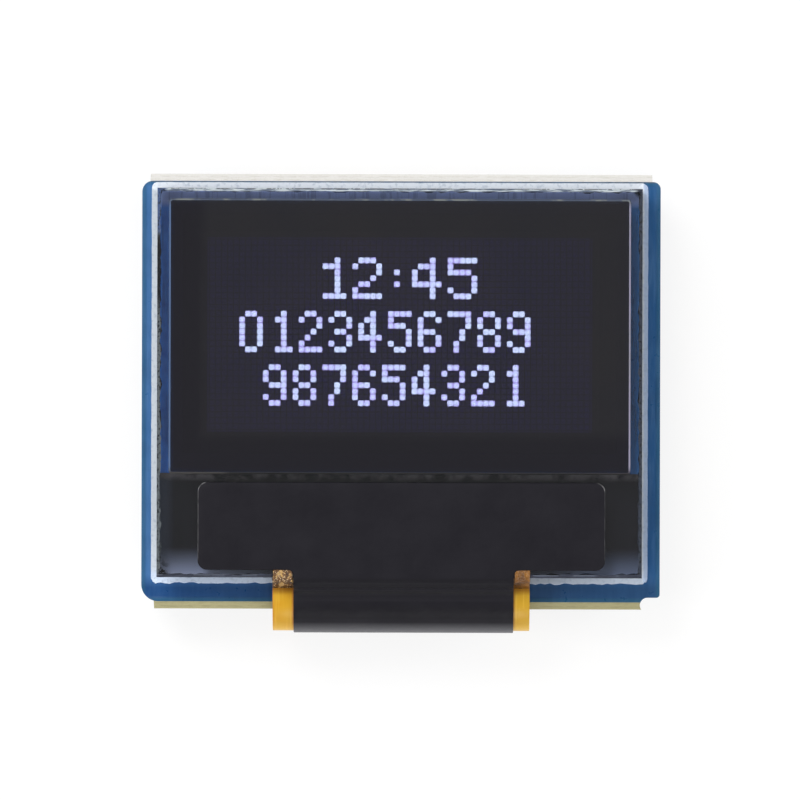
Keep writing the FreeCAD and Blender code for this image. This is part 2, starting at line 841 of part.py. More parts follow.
def make_chip_part(part, kind):
    """A ceramic block with a wrapped terminal at each end, and a resistor's dark overcoat."""
    terminal, height = f"{kind}_terminal", f"{kind}_height"
    far = f"({PART_BACK} - {height})"
    block_args = (
        part,
        kind,
        "0",
        "plating",
        f"({kind}_length - 2 * plating)",
        f"({far} + plating)",
        f"({height} - 2 * plating)",
    )
    block = chip_box(f"{part}_block", *block_args)
    keep(block, f"{part}_body")
    ends = [
        chip_box(
            f"{part}_end",
            part,
            kind,
            f"({side} * ({kind}_length - {terminal}) / 2)",
            "0",
            terminal,
            far,
            height,
        )
        for side in (-1, 1)
    ]
    core = chip_box(f"{part}_core", *block_args)
    keep(cut(f"{part}_ends", compound(f"{part}_caps", ends), core), f"{part}_terminals")
    if kind == "resistor":
        coat = chip_box(
            f"{part}_coat",
            part,
            kind,
            "0",
            "plating",
            f"({kind}_length - 2 * {terminal})",
            f"({far} + plating - overcoat_thickness)",
            "overcoat_thickness",
        )
        keep(coat, f"{part}_overcoat")


def solder_wedge(name, x, y, width, reach, rise, angle):
    """A sloped fillet of solder whose foot points along the angle in the board's plane."""
    wedge = doc.addObject("Part::Wedge", name)
    sizes = {
        "Xmin": "0",
        "Xmax": reach,
        "X2min": "0",
        "X2max": "0",
        "Ymin": "0",
        "Ymax": rise,
        "Zmin": "0",
        "Z2min": "0",
        "Zmax": width,
        "Z2max": width,
    }
    for cell, formula in sizes.items():
        wedge.setExpression(cell, bound(formula))
    stand = Rotation(Vector(1, 0, 0), -90)
    turn = Rotation(Vector(0, 0, 1), angle)
    wedge.Placement = Placement(Vector(), turn.multiply(stand))
    shift = {0: ("0", -1), 90: ("x", 1), 180: ("0", 1), 270: ("x", -1)}
    across, sign = shift[angle]
    half = f"{sign} * ({width}) / 2"
    wedge.setExpression("Placement.Base.x", bound(f"{x} + {half}" if across == "x" else x))
    wedge.setExpression("Placement.Base.y", bound(f"{y} + {half}" if across == "0" else y))
    wedge.setExpression("Placement.Base.z", bound("0 - pad_rise"))
    return wedge


def make_component_solder():
    """The solder under and beside each chip part's terminals and regulator feet."""
    solder = []
    for part, (kind, *_, turned) in CHIP_PARTS.items():
        rise = f"(part_film + fillet_share * {kind}_height)"
        for side in (-1, 1):
            end = f"({side} * {kind}_length / 2)"
            foot = chip_place(part, end)
            angle = (90 if side > 0 else 270) if turned else (0 if side > 0 else 180)
            solder.append(
                solder_wedge(
                    f"{part}_fillet", *foot, f"{kind}_width", "fillet_length", rise, angle
                )
            )
            middle = f"({side} * ({kind}_length - {kind}_terminal) / 2)"
            solder.append(
                chip_box(
                    f"{part}_film",
                    part,
                    kind,
                    middle,
                    "0",
                    f"{kind}_terminal",
                    PART_BACK,
                    "part_film",
                )
            )
    for x, side in lead_places():
        toe = f"({ROW_Y} + {side} * lead_span / 2)"
        angle = 90 if side > 0 else 270
        rise = "(part_film + lead_thickness)"
        solder.append(solder_wedge("lead_toe", x, toe, "lead_width", "fillet_length", rise, angle))
        middle = f"({ROW_Y} + {side} * (lead_span - lead_foot) / 2)"
        solder.append(
            centred_box(
                "lead_film", x, middle, PART_BACK, "lead_width", "lead_foot", "part_film"
            )
        )
    keep(compound("component_solder", solder), "component_solder")


def make_regulator():
    body = new_body("regulator_block")
    near = "(0 - regulator_standoff)"
    outline = centred(REGULATOR_X, ROW_Y, "regulator_length", "regulator_depth")
    pad(body, outline, f"{near} - regulator_height", "regulator_height")
    base, far = body.Tip, number(f"{near} - regulator_height")
    edges = [
        f"Edge{index}"
        for index, edge in enumerate(base.Shape.Edges, start=1)
        if all(abs(vertex.Z - far) < 1e-6 for vertex in edge.Vertexes)
    ]
    chamfer = body.newObject("PartDesign::Chamfer", "Chamfer")
    chamfer.Base = (base, edges)
    chamfer.setExpression("Size", bound("regulator_chamfer"))
    doc.recompute()
    keep(body, "regulator_body")
    leads = []
    for x, side in lead_places():
        lead = new_body("lead")
        edge, end = f"{side} * regulator_depth / 2", f"{side} * lead_span / 2"
        knee = f"{side} * (lead_span / 2 - lead_foot)"
        heel = f"{side} * (lead_span / 2 - lead_foot - lead_thickness)"
        exit_z = f"({near} - regulator_height / 2)"
        low, high = PART_BACK, f"({PART_BACK} - lead_thickness)"
        profile = [
            (edge, f"{exit_z} - lead_thickness / 2"),
            (knee, f"{exit_z} - lead_thickness / 2"),
            (knee, high),
            (end, high),
            (end, low),
            (heel, low),
            (heel, f"{exit_z} + lead_thickness / 2"),
            (edge, f"{exit_z} + lead_thickness / 2"),
        ]
        placed = [(f"{ROW_Y} + {along}", height) for along, height in profile]
        pad(lead, placed, f"{x} - lead_width / 2", "lead_width", "YZ_Plane")
        leads.append(lead)
    keep(compound("regulator_leads", leads), "regulator_leads")


def check_and_write():
    """Stops at a failed object or shape, then writes one STEP file per sub-part."""
    doc.recompute()
    for item in doc.Objects:
        if "Invalid" in item.State or "Error" in item.State:
            raise RuntimeError(f"{item.Name} ({item.Label}) failed: {item.State}")
    os.makedirs("parts", exist_ok=True)
    for node in nodes:
        if node.Shape.isNull() or not node.Shape.isValid() or not node.Shape.Solids:
            raise RuntimeError(f"{node.Label} has no valid solid")
        node.Shape.exportStep(f"parts/{node.Label}.step")
        solids = node.Shape.Solids
        print(f"{node.Label}: {len(solids)} solid(s), {sum(s.Volume for s in solids):.4f} mm3")


make_circuit_board()
make_front_mask()
make_printed_frame()
make_glass()
make_polarizer()
make_dot_matrix()
make_mounting()
make_driver_chip()
make_flex()
make_tape()
make_edge_glue()
make_contacts()
make_back_copper_and_mask()
for chip_part, details in CHIP_PARTS.items():
    make_chip_part(chip_part, details[0])
make_component_solder()
make_regulator()
check_and_write()
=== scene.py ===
"""Looks of a small dot-matrix display module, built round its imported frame.

The module lies on its back with the display up. Sizes are in metres, in the frame's own axes.
"""

import json
import math

import bmesh
import bpy
from bpy.props import FloatProperty, FloatVectorProperty, IntProperty, PointerProperty
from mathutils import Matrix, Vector, noise

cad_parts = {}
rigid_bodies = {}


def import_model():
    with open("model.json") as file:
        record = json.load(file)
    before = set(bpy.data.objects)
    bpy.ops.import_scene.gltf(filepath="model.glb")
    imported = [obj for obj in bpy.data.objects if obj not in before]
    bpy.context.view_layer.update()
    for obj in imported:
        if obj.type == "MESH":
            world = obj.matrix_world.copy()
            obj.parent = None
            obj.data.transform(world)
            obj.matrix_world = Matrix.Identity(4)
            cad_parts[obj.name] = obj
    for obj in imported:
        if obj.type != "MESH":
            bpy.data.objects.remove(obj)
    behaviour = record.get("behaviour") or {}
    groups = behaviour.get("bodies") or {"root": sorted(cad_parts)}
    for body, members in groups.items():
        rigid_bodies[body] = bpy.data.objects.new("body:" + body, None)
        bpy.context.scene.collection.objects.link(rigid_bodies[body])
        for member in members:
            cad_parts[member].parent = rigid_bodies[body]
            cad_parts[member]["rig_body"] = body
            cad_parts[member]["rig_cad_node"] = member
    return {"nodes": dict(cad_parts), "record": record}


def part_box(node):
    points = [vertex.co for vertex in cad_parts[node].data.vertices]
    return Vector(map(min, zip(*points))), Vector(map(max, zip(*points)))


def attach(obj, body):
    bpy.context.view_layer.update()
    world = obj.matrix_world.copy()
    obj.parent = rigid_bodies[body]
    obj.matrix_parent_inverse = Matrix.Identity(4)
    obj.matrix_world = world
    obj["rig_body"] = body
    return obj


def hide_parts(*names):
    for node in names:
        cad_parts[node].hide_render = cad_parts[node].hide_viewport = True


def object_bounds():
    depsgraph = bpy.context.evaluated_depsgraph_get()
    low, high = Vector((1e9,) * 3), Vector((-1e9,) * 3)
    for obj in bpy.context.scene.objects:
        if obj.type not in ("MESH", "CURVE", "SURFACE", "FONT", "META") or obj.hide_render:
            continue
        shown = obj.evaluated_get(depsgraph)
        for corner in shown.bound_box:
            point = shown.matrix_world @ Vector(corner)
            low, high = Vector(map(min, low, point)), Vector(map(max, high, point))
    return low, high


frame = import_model()
CAD_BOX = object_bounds()
NODES = frame["nodes"]

bl_info = {
    "name": "Small Display Module",
    "version": (1, 0, 0),
    "blender": (4, 5, 0),
    "location": "3D View > Sidebar > Display Module",
    "description": "Gives a small dot-matrix display module its finished looks",
    "category": "Object",
}

MM = 0.001
MERGE = 2e-7
LAYER = 0.012 * MM  # what keeps two faces of a stack from lying in one plane
DOT_PITCH = 0.175  # millimetres from dot to dot
MATRIX_BORDER = 0.06  # millimetres from the emitting layer's edge to its first dot's cell
NECK = (-3.15, 3.33)  # the two sides of the tape's neck, in millimetres
FLEX_GAPS = 13  # spaces between the flex's contacts
NOISE_MEAN = 0.5  # the mean of the noise that is used here


# small helpers for colours and properties


def tone(red, green, blue):
    """A screen colour, 0 to 255, as the linear colour that a shader's socket takes."""
    linear = [
        c / 12.92 if c <= 0.04045 else ((c + 0.055) / 1.055) ** 2.4
        for c in (red / 255, green / 255, blue / 255)
    ]
    return (*linear, 1.0)


def as_colour(value):
    """Three numbers are a screen colour; sockets and linear colours stay as they are."""
    return tone(*value) if isinstance(value, tuple) and len(value) == 3 else value


def number(name, description, default, kind=FloatProperty, **settings):
    """A plain number that the user may change."""
    settings = {"min": 0.0, **settings}
    return kind(name=name, description=description, default=default, **settings)


def length(name, description, millimetres):
    """A size that the user may change."""
    return number(name, description, millimetres * MM, unit="LENGTH", precision=6)


def colour(name, description, *levels):
    """A colour that the user may change."""
    settings = {"kind": FloatVectorProperty, "size": 4, "max": 1.0, "subtype": "COLOR"}
    return number(name, description, tone(*levels), **settings)


class ModuleSizes(bpy.types.PropertyGroup):
    """Sizes of what is shaped here; everything else comes from the frame."""

    glass_chip: length("Glass Chipping", "Mean width of the glass's broken edge", 0.075)
    film_rim: length("Polarizer Rim", "Width of the polarizer's cut edge", 0.056)
    tape_rim: length("Tape Rim", "Width of the tape's rounded edge", 0.022)
    flex_rim: length("Flex Rim", "Width of the flex's rounded edge", 0.012)
    ink_tear: length("Ink Tear", "How far the printed line's edge wanders", 0.03)
    part_rim: length("Part Rim", "Rounding of the chip parts' edges", 0.035)
    track_width: length("Track Width", "Width of a copper track", 0.16)
    track_rise: length("Track Rise", "Height of a track under the solder mask", 0.012)
    via_width: length("Via Width", "Outer diameter of a plated hole", 0.42)
    via_hole: length("Via Hole", "Diameter of a plated hole's opening", 0.18)
    outline_width: length("Outline Width", "Width of a printed line on the back", 0.1)
    dot_pitch: length("Dot Pitch", "Distance from dot to dot", DOT_PITCH)


class ModuleColours(bpy.types.PropertyGroup):
    """Colours of the module's main surfaces"""

    # The mask's tones are painted light: lighter on the left, darker on the right, and painted
    # shade below the panel.
    mask_lit: colour("Mask, Light", "Solder mask on the left", 61, 111, 167)
    mask_shaded: colour("Mask, Deep", "Solder mask on the right", 26, 84, 137)
    mask_shaded_foot: colour("Mask, Foot", "Solder mask below the panel", 12, 67, 122)
    mask_bare: colour("Mask Off Copper", "Mask at the outline", 36, 92, 118)
    # Painted light: the scored edge is pale where lit at the top and warmer where shaded below.
    laminate_lit: colour("Laminate, Top", "Scored edge at the top", 210, 208, 204)
    laminate_shaded: colour("Laminate, Bottom", "Scored edge below", 168, 161, 116)
    ink: colour("Ink", "Printed frame line", 208, 216, 225)
    ink_shaded: colour("Ink, Shaded", "Printed line on the right", 174, 191, 219)
    polarizer: colour("Polarizer", "Dark film over the display", 37, 37, 42)
    active_area: colour("Active Area", "The unlit dots behind the film", 96, 80, 206)
    dot: colour("Lit Dot", "Light of a dot", 204, 217, 255)
    dot_lilac: colour("Lit Dot, Lilac", "Light between two dots", 186, 178, 250)
    tape: colour("Tape", "Black protective tape", 29, 28, 33)
    flex: colour("Flex", "Amber polyimide film", 200, 154, 38)
    glue: colour("Glue", "Resin along the glass edge", 112, 74, 28)
    floor: colour("Floor", "Pale floor", 250, 250, 250)


class StudioSettings(bpy.types.PropertyGroup):
    """Camera and lamps"""

    distance: number(
        "Camera Distance", "Height of the camera above the dots", 0.25, min=0.05, unit="LENGTH"
    )
    focal: number("Focal Length", "Lens in millimetres for a 36 mm sensor", 382.2, min=50.0)
    turn: FloatProperty(
        name="Camera Turn",
        description="How far the camera is turned about its own axis",
        default=math.radians(0.16),
        subtype="ANGLE",
    )
    key_power: number("Key Lamp", "Power of the largest lamp", 1.05)
    fill_power: number("Fill Lamps", "Power of each smaller lamp", 0.5)
    sky_low: number("Sky Low", "Light from near the horizon", 0.95)
    sky_high: number("Sky High", "Light from straight above", 0.26)
    seed: number("Seed", "Start of every uneven edge", 7, IntProperty, min=0)


# shader nodes


class Nodes:
    """A node tree, and the sums that are made in it."""

    def __init__(self, tree):
        self.tree = tree

    def fill(self, socket, value):
        """Links a socket to another one, or gives it a value."""
        if isinstance(value, bpy.types.NodeSocket):
            self.tree.links.new(value, socket)
        else:
            socket.default_value = value

    def put(self, kind, inputs=None, **settings):
        """Adds a node, sets it, and fills its inputs."""
        node = self.tree.nodes.new(kind)
        for name, value in settings.items():
            setattr(node, name, value)
        for key, value in (inputs or {}).items():
            self.fill(node.inputs[key], value)
        return node

    def sum(self, operation, first, second=0.0, clamp=False):
        """One sum between two values, held between 0 and 1 where that is asked."""
        settings = {"operation": operation, "use_clamp": clamp}
        return self.put("ShaderNodeMath", {0: first, 1: second}, **settings).outputs[0]

    def vectors(self, operation, first, second=(0.0, 0.0, 0.0)):
        """One sum between two vectors."""
        inputs = {0: first, 1: second}
        return self.put("ShaderNodeVectorMath", inputs, operation=operation).outputs[0]

    def times(self, first, second, clamp=False):
        return self.sum("MULTIPLY", first, second, clamp)

    def most(self, first, second):
        return self.sum("MAXIMUM", first, second)

    def apart(self, first, second):
        """How far two values are from each other."""
        return self.sum("ABSOLUTE", self.sum("SUBTRACT", first, second))

    def off_middle(self, value, pitch):
        """How far a value is from the middle of its cell, from 0 to 0.5."""
        return self.apart(self.sum("FRACT", self.sum("DIVIDE", value, pitch)), 0.5)

    def span(self, value, low, high, start=0.0, end=1.0):
        """A value from low to high, spread over start to end and held there."""
        limits = {"From Min": low, "From Max": high, "To Min": start, "To Max": end}
        return self.put("ShaderNodeMapRange", {"Value": value, **limits}).outputs["Result"]

    def band(self, value, rise, fall):
        """A value's share between a rising and a falling end."""
        return self.times(self.span(value, *rise), self.span(value, *fall))

    def mix(self, share, first, second):
        """A colour between two colours."""
        inputs = {0: share, 6: as_colour(first), 7: as_colour(second)}
        return self.put("ShaderNodeMix", inputs, data_type="RGBA").outputs[2]


class Effect(Nodes):
    """A shared node group while it is put together. It starts from a place in millimetres."""

    def __init__(self, name, result, **inputs):
        super().__init__(bpy.data.node_groups.new(name, "ShaderNodeTree"))
        for label, value in {"Place": None, **inputs}.items():
            kind = "NodeSocketFloat" if isinstance(value, float) else "NodeSocketVector"
            socket = self.new_socket(label.replace("_", " "), "INPUT", kind)
            if value is not None:
                socket.default_value = value
        self.new_socket(result, "OUTPUT", "NodeSocketFloat")
        self.given = self.tree.nodes.new("NodeGroupInput").outputs
        self.result = self.tree.nodes.new("NodeGroupOutput").inputs[result]

    def new_socket(self, label, side, kind):
        return self.tree.interface.new_socket(name=label, in_out=side, socket_type=kind)

    def stretched_noise(self, place, scale, detail, roughness, gain):
        """Gives noise whose distance from its mean grows with the group's contrast."""
        inputs = {"Vector": place, "Scale": scale, "Detail": detail, "Roughness": roughness}
        cloud = self.put("ShaderNodeTexNoise", inputs).outputs["Fac"]
        gain = self.times(self.given["Contrast"], gain)
        stretched = self.times(self.sum("SUBTRACT", cloud, NOISE_MEAN), gain)
        self.fill(self.result, self.sum("ADD", stretched, NOISE_MEAN, clamp=True))


def make_grain():
    """Cloudy unevenness of one size, in millimetres, with its contrast."""
    e = Effect("Uneven Grain", "Amount", Size=0.1, Contrast=1.0)
    e.stretched_noise(e.given["Place"], e.sum("DIVIDE", 1.0, e.given["Size"]), 3.0, 0.55, 2.2)


def make_streaks():
    """Fine drawn-out unevenness, such as plies, hackle or rolled film."""
    e = Effect("Drawn Streaks", "Amount", Along=(1.0, 1.0, 1.0), Contrast=1.0)
    drawn = e.vectors("MULTIPLY", e.given["Place"], e.given["Along"])
    e.stretched_noise(drawn, 1.0, 4.0, 0.62, 2.4)


def make_specks():
    """Sparse small specks of dust or filler."""
    e = Effect("Sparse Specks", "Amount", Spacing=0.5, Share=0.1)
    scale = e.sum("DIVIDE", 1.0, e.given["Spacing"])
    cells = e.put("ShaderNodeTexVoronoi", {"Vector": e.given["Place"], "Scale": scale})
    sharp = 18.0
    edge = e.sum("SUBTRACT", e.given["Share"], cells.outputs["Distance"])
    e.fill(e.result, e.times(edge, sharp, clamp=True))


def make_inset():
    """How far a point lies inside a rectangle, in millimetres."""
    e = Effect("Inset", "Distance", Centre=None, Half_Size=None)
    moved = e.vectors("SUBTRACT", e.given["Place"], e.given["Centre"])
    left = e.vectors("SUBTRACT", e.given["Half Size"], e.vectors("ABSOLUTE", moved))
    parts = e.put("ShaderNodeSeparateXYZ", {0: left}).outputs
    e.fill(e.result, e.sum("MINIMUM", parts["X"], parts["Y"]))


def box_mm(node):
    """The two corners of a frame node, in millimetres."""
    return [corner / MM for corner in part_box(node)]


class Finish(Nodes):
    """A material while its nodes are put together. Its coordinates are in millimetres."""

    def __init__(self, name, **values):
        self.material = bpy.data.materials.new(name)
        self.material.use_nodes = True
        super().__init__(self.material.node_tree)
        self.shader = self.tree.nodes["Principled BSDF"]
        self.end = self.tree.nodes["Material Output"]
        start = self.put("ShaderNodeTexCoord").outputs["Object"]
        scaled = self.put("ShaderNodeMapping", {"Vector": start, "Scale": (1 / MM,) * 3})
        self.place = scaled.outputs["Vector"]
        axes = self.put("ShaderNodeSeparateXYZ", {0: self.place}).outputs
        self.x, self.y, self.z = axes["X"], axes["Y"], axes["Z"]
        self.colours = bpy.context.scene.module_colours
        self.base = None
        for label, value in values.items():
            self.set(label.replace("_", " "), value)

    def set(self, label, value):
        """Fills one of the shader's own sockets."""
        self.fill(self.shader.inputs[label], as_colour(value))

    def lay(self, colour, share=None):
        """Lays a colour over the base colour, all over or by a share."""
        self.base = colour if share is None else self.mix(share, self.base, colour)
        self.set("Base Color", self.base)

    def effect(self, group, **inputs):
        """One of the shared effects, with its own values."""
        inputs = {label.replace("_", " "): value for label, value in inputs.items()}
        inputs["Place"] = self.place
        group = bpy.data.node_groups[group]
        return self.put("ShaderNodeGroup", inputs, node_tree=group).outputs[0]

    def grain(self, size, contrast=1.0):
        return self.effect("Uneven Grain", Size=size, Contrast=contrast)

    def streaks(self, along, contrast=1.0):
        return self.effect("Drawn Streaks", Along=along, Contrast=contrast)

    def specks(self, spacing, share):
        return self.effect("Sparse Specks", Spacing=spacing, Share=share)

    def inset(self, node):
        """Distance from the outline of a frame node."""
        low, high = box_mm(node)
        return self.effect("Inset", Centre=(low + high) / 2, Half_Size=(high - low) / 2)

    def matrix(self):
        """How far a point is from the middle of its dot, across and along."""
        low, _ = box_mm("emitter_layer")
        first = (low.x + MATRIX_BORDER, low.y + MATRIX_BORDER)
        places = [self.sum("SUBTRACT", v, start) for v, start in zip((self.x, self.y), first)]
        return [self.off_middle(place, DOT_PITCH) for place in places]

    def bump(self, height, depth):
        """Relief of one depth in millimetres, over any relief already there."""
        inputs = {"Height": height, "Distance": depth * MM, "Strength": 1.0}
        before = self.shader.inputs["Normal"]
        if before.is_linked:
            inputs["Normal"] = before.links[0].from_socket
        self.fill(before, self.put("ShaderNodeBump", inputs).outputs["Normal"])

    def clear_to_light(self, passed):
        """Lets lamp light and soft light straight through, as thin clear glass does."""
        rays = self.put("ShaderNodeLightPath").outputs
        light = self.most(rays["Is Shadow Ray"], rays["Is Diffuse Ray"])
        clear = self.put("ShaderNodeBsdfTransparent", {"Color": passed}).outputs[0]
        mixed = self.put("ShaderNodeMixShader", {0: light, 1: self.shader.outputs[0], 2: clear})
        self.fill(self.end.inputs["Surface"], mixed.outputs[0])


# materials


PAINTS = {}
FINISHES = {}


def paints(name, **values):
    """Keeps a function that paints a slot, with its material's name and plain values."""

    def keep(paint):
        PAINTS[paint.__name__.removeprefix("paint_")] = (paint, name, values)
        return paint

    return keep


@paints("scored laminate", Roughness=0.62)
def paint_board_laminate(f):
    """Bare glass-cloth laminate where the board was scored and snapped, with painted light: pale
    where lit at the top, warmer where shaded below, and painted shade towards the right.
    """
    upper = f.span(f.y, -6.3, 6.3)
    darker = f.mix(upper, (134, 128, 86), (182, 178, 166))
    ply = 0.17
    bundles = f.streaks((4.0, 4.0, 19.0), 1.4)
    cloth = f.times(f.span(f.off_middle(f.z, ply), 0.42, 0.12), f.span(bundles, 0.35, 0.75))
    # Painted light: pale and lit at the top, warmer and shaded below.
    f.lay(f.mix(upper, f.colours.laminate_shaded, f.colours.laminate_lit))
    f.lay(darker, f.times(cloth, 0.4))
    # Painted shade: darker towards the right.
    f.lay(f.mix(upper, darker, f.base), f.span(f.x, 1.0, 5.0, 0.0, 0.35))
    f.lay(darker, f.span(f.grain(0.05, 1.3), 0.6, 1.0, 0.0, 0.3))
    f.bump(cloth, 0.008)
    f.bump(f.grain(0.03), 0.005)


@paints("blue solder mask", Coat_Roughness=0.12, Coat_IOR=1.45, Coat_Weight=0.25)
def paint_solder_mask(f):
    """Blue solder mask, lighter over copper and teal where the copper stops. Painted shade makes it
    darker from left to right and darkest below the panel.
    """
    across, foot = f.span(f.x, -7.4, 7.4), f.span(f.y, -5.4, -5.8)
    # Painted shade: darker from left to right, and darkest below the panel.
    f.lay(f.mix(across, f.colours.mask_lit, f.colours.mask_shaded))
    f.lay(f.mix(across, f.colours.mask_shaded_foot, (28, 72, 116)), foot)
    off_copper = f.span(f.inset("front_solder_mask"), 0.15, 0.07)
    f.lay(f.colours.mask_bare, f.times(off_copper, 0.55))
    f.lay((86, 90, 94), f.span(f.y, 6.16, 6.175, 0.0, 0.65))
    weave = f.streaks((7.0, 0.7, 1.0), 0.8)
    woven = f.times(f.span(weave, 0.35, 0.9, 0.0, 0.3), f.span(foot, 0.0, 1.0, 1.0, 0.25))
    f.lay((88, 130, 176), woven)
    f.lay((22, 60, 98), f.span(f.grain(0.9), 0.4, 0.9, 0.0, 0.25))
    f.set("Roughness", f.span(f.grain(0.25), 0.0, 1.0, 0.26, 0.4))
    f.bump(off_copper, 0.012)
    f.bump(weave, 0.0015)
    f.bump(f.grain(0.06), 0.002)


@paints("mask over copper", Roughness=0.3, Coat_Roughness=0.12, Coat_Weight=0.25)
def paint_copper_under_mask(f):
    """Solder mask where it lies over a copper track: a little lighter than the rest."""
    # Lighter on the left and darker on the right: painted shade, as on the front mask.
    f.lay(f.mix(f.span(f.x, -7.4, 7.4), (74, 122, 172), (56, 106, 152)))
    f.lay((84, 132, 180), f.grain(0.3))
    f.bump(f.grain(0.06), 0.002)


@paints("mask over laminate", Roughness=0.34)
def paint_clearance(f):
    """Solder mask over bare laminate, beside the tracks: darker."""
    f.lay(f.mix(f.grain(0.3), (18, 50, 84), (26, 62, 98)))
    f.bump(f.grain(0.06), 0.002)


@paints("white ink", Roughness=0.7)
def paint_white_ink(f):
    """White screen-printed ink, thin and uneven, with the panel's shade painted on the right and
    lower right and a painted highlight along the top.
    """
    wavering = f.sum("ADD", f.x, f.span(f.grain(0.3), 0.0, 1.0, -0.02, 0.02))
    foot = f.span(f.y, -5.2, -5.4)
    # Painted highlight: lighter along the top line.
    f.lay(f.mix(f.span(f.y, 5.9, 6.1), f.colours.ink, (226, 232, 242)))
    f.lay((208, 222, 242), f.times(foot, f.span(f.x, 0.0, -2.0)))
    # Painted shade on the right and the lower right.
    shaded = f.most(f.span(wavering, 7.13, 7.19), f.times(foot, f.span(f.x, 2.5, 4.0, 0.0, 0.35)))
    f.lay(f.colours.ink_shaded, shaded)
    f.lay((150, 166, 188), f.span(f.grain(0.12, 1.3), 0.55, 1.0, 0.0, 0.4))
    f.bump(f.grain(0.05), 0.004)


@paints("display glass", Base_Color=(242, 244, 247), Roughness=0.0, IOR=1.5)
def paint_display_glass(f):
    """Clear display glass with a faint cool cast."""
    f.set("Transmission Weight", 1.0)
    f.clear_to_light((0.9, 0.93, 0.97, 1.0))


@paints("broken glass edge", Roughness=0.45, Specular_IOR_Level=0.15)
def paint_glass_edge(f):
    """Scribed and broken glass, with painted light: highlights on the hackle along the top, shade
    along the other sides and a pale highlight along the bottom.
    """
    low, high = box_mm("front_glass")
    hackle = f.streaks((1.6, 26.0, 9.0), 1.8)
    # Painted shade along the sides, darkest in a band high on the left.
    left = f.mix(f.span(f.y, 4.5, 4.8), (78, 84, 88), (62, 80, 116))
    left = f.mix(f.band(f.y, (2.2, 2.8), (4.7, 4.5)), left, (8, 8, 14))
    f.lay(f.mix(f.span(f.x, -0.5, 0.5), left, (48, 54, 67)))
    f.lay((24, 28, 34), f.span(f.grain(0.09, 1.8), 0.66, 0.8))

    # Painted highlight: bright hackle along the top edge.
    bright = f.mix(f.span(hackle, 0.3, 0.75), (82, 92, 108), (186, 195, 199))
    inner = f.span(f.y, high.y - 0.075, high.y - 0.1, 0.0, 0.8)
    bright = f.mix(inner, bright, (66, 76, 100))
    broken = f.span(f.streaks((5.0, 1.0, 1.0), 1.7), 0.45, 0.6)
    outer = f.times(f.span(f.y, high.y - 0.04, high.y - 0.015), broken)
    bright = f.mix(outer, bright, (92, 96, 98))
    width = f.span(f.sum("ABSOLUTE", f.x), high.x - 0.12, high.x - 0.24)
    f.lay(bright, f.times(f.span(f.y, high.y - 0.12, high.y - 0.1), width))

    # Painted highlight: a pale broken line and a lighter band along the bottom edge.
    lower_edge_glint = f.span(f.apart(f.y, low.y + 0.07), 0.017, 0.009)
    lower_edge_glint = f.times(lower_edge_glint, f.span(f.grain(0.8, 1.6), 0.55, 0.63))
    lower = f.mix(f.span(hackle, 0.5, 0.9, 0.0, 0.4), (44, 48, 61), (80, 86, 105))
    pale = f.mix(f.span(f.x, -0.5, 0.5), (86, 92, 104), (92, 98, 112))
    f.lay(f.mix(lower_edge_glint, lower, pale), f.span(f.y, low.y + 0.12, low.y + 0.1))
    f.bump(hackle, 0.006)


@paints("cut glass side", Roughness=0.28)
def paint_glass_side(f):
    """The upright side of cut glass: grey-green, with hackle drawn along it."""
    drawn = f.streaks((0.8, 0.8, 13.0), 1.3)
    f.lay(f.mix(f.span(drawn, 0.3, 0.8), (44, 52, 57), (72, 83, 87)))
    f.lay((38, 45, 53), f.span(f.grain(0.6, 1.4), 0.55, 0.9, 0.0, 0.6))
    f.lay((128, 138, 142), f.specks(0.25, 0.09))
    f.bump(drawn, 0.006)
    f.bump(f.grain(0.05), 0.002)


@paints("seal resin", Roughness=0.3, Alpha=0.62)
def paint_seal_resin(f):
    """Cured resin that joins the two glasses, seen through the clear margin. Its blue tones carry
    painted light and shade of the board below: greyer on the right, lighter along the top, nearly
    black in the upper right corner.
    """
    _, high = box_mm("front_glass")
    f.lay(f.mix(f.grain(0.35), (28, 102, 198), (58, 134, 230)))
    # Painted light: greyer on the right and lighter along the top.
    f.lay((38, 100, 142), f.span(f.x, 6.0, 6.6, 0.0, 0.7))
    f.lay((174, 188, 236), f.span(f.y, 5.4, 5.6, 0.0, 0.9))
    f.lay((22, 36, 60), f.span(f.streaks((9.0, 0.6, 1.0), 1.5), 0.6, 0.9, 0.0, 0.3))
    f.lay((40, 42, 66), f.span(f.inset("polarizer_film"), -0.02, 0.16))
    f.lay((40, 52, 84), f.span(f.inset("seal_bead"), 0.025, 0.015))
    # Painted shade: nearly black in the upper right corner.
    corner = f.sum("ADD", f.sum("SUBTRACT", high.x, f.x), f.sum("SUBTRACT", high.y, f.y))
    f.lay((10, 12, 18), f.span(corner, 0.42, 0.3))


def paint_cloth_sheet(f, first, second, size):
    """A plain matt sheet with grain, such as adhesive foam or drying paper."""
    f.set("Roughness", 0.85)
    cells = f.grain(size, 1.4)
    f.lay(f.mix(cells, first, second))
    f.bump(cells, size * 0.2)


@paints("dot matrix", Roughness=0.3)
def paint_emitter(f):
    """The unlit matrix: dark columns and rows with fine gaps."""
    f.lay(f.colours.active_area)
    f.lay((98, 82, 226), f.span(f.y, 1.5, -0.5, 0.0, 0.35))
    f.lay((36, 32, 48), f.span(f.most(*f.matrix()), 0.4, 0.47))


@paints("lit dots", Base_Color=(30, 30, 40), Roughness=0.5)
def paint_lit_pixel(f):
    """Light of the dots: pale blue at the middle, fading and lilac at the rim."""
    squares = [f.sum("POWER", distance, 2.0) for distance in f.matrix()]
    away = f.sum("SQRT", f.sum("ADD", *squares))
    tint = f.mix(f.span(f.grain(0.5), 0.3, 0.7), f.colours.dot, f.colours.dot_lilac)
    core = f.mix(f.span(away, 0.12, 0.42), f.colours.dot, tint)
    f.set("Emission Color", f.mix(f.span(away, 0.44, 0.68), core, (60, 58, 110)))
    f.set("Emission Strength", 9.0)


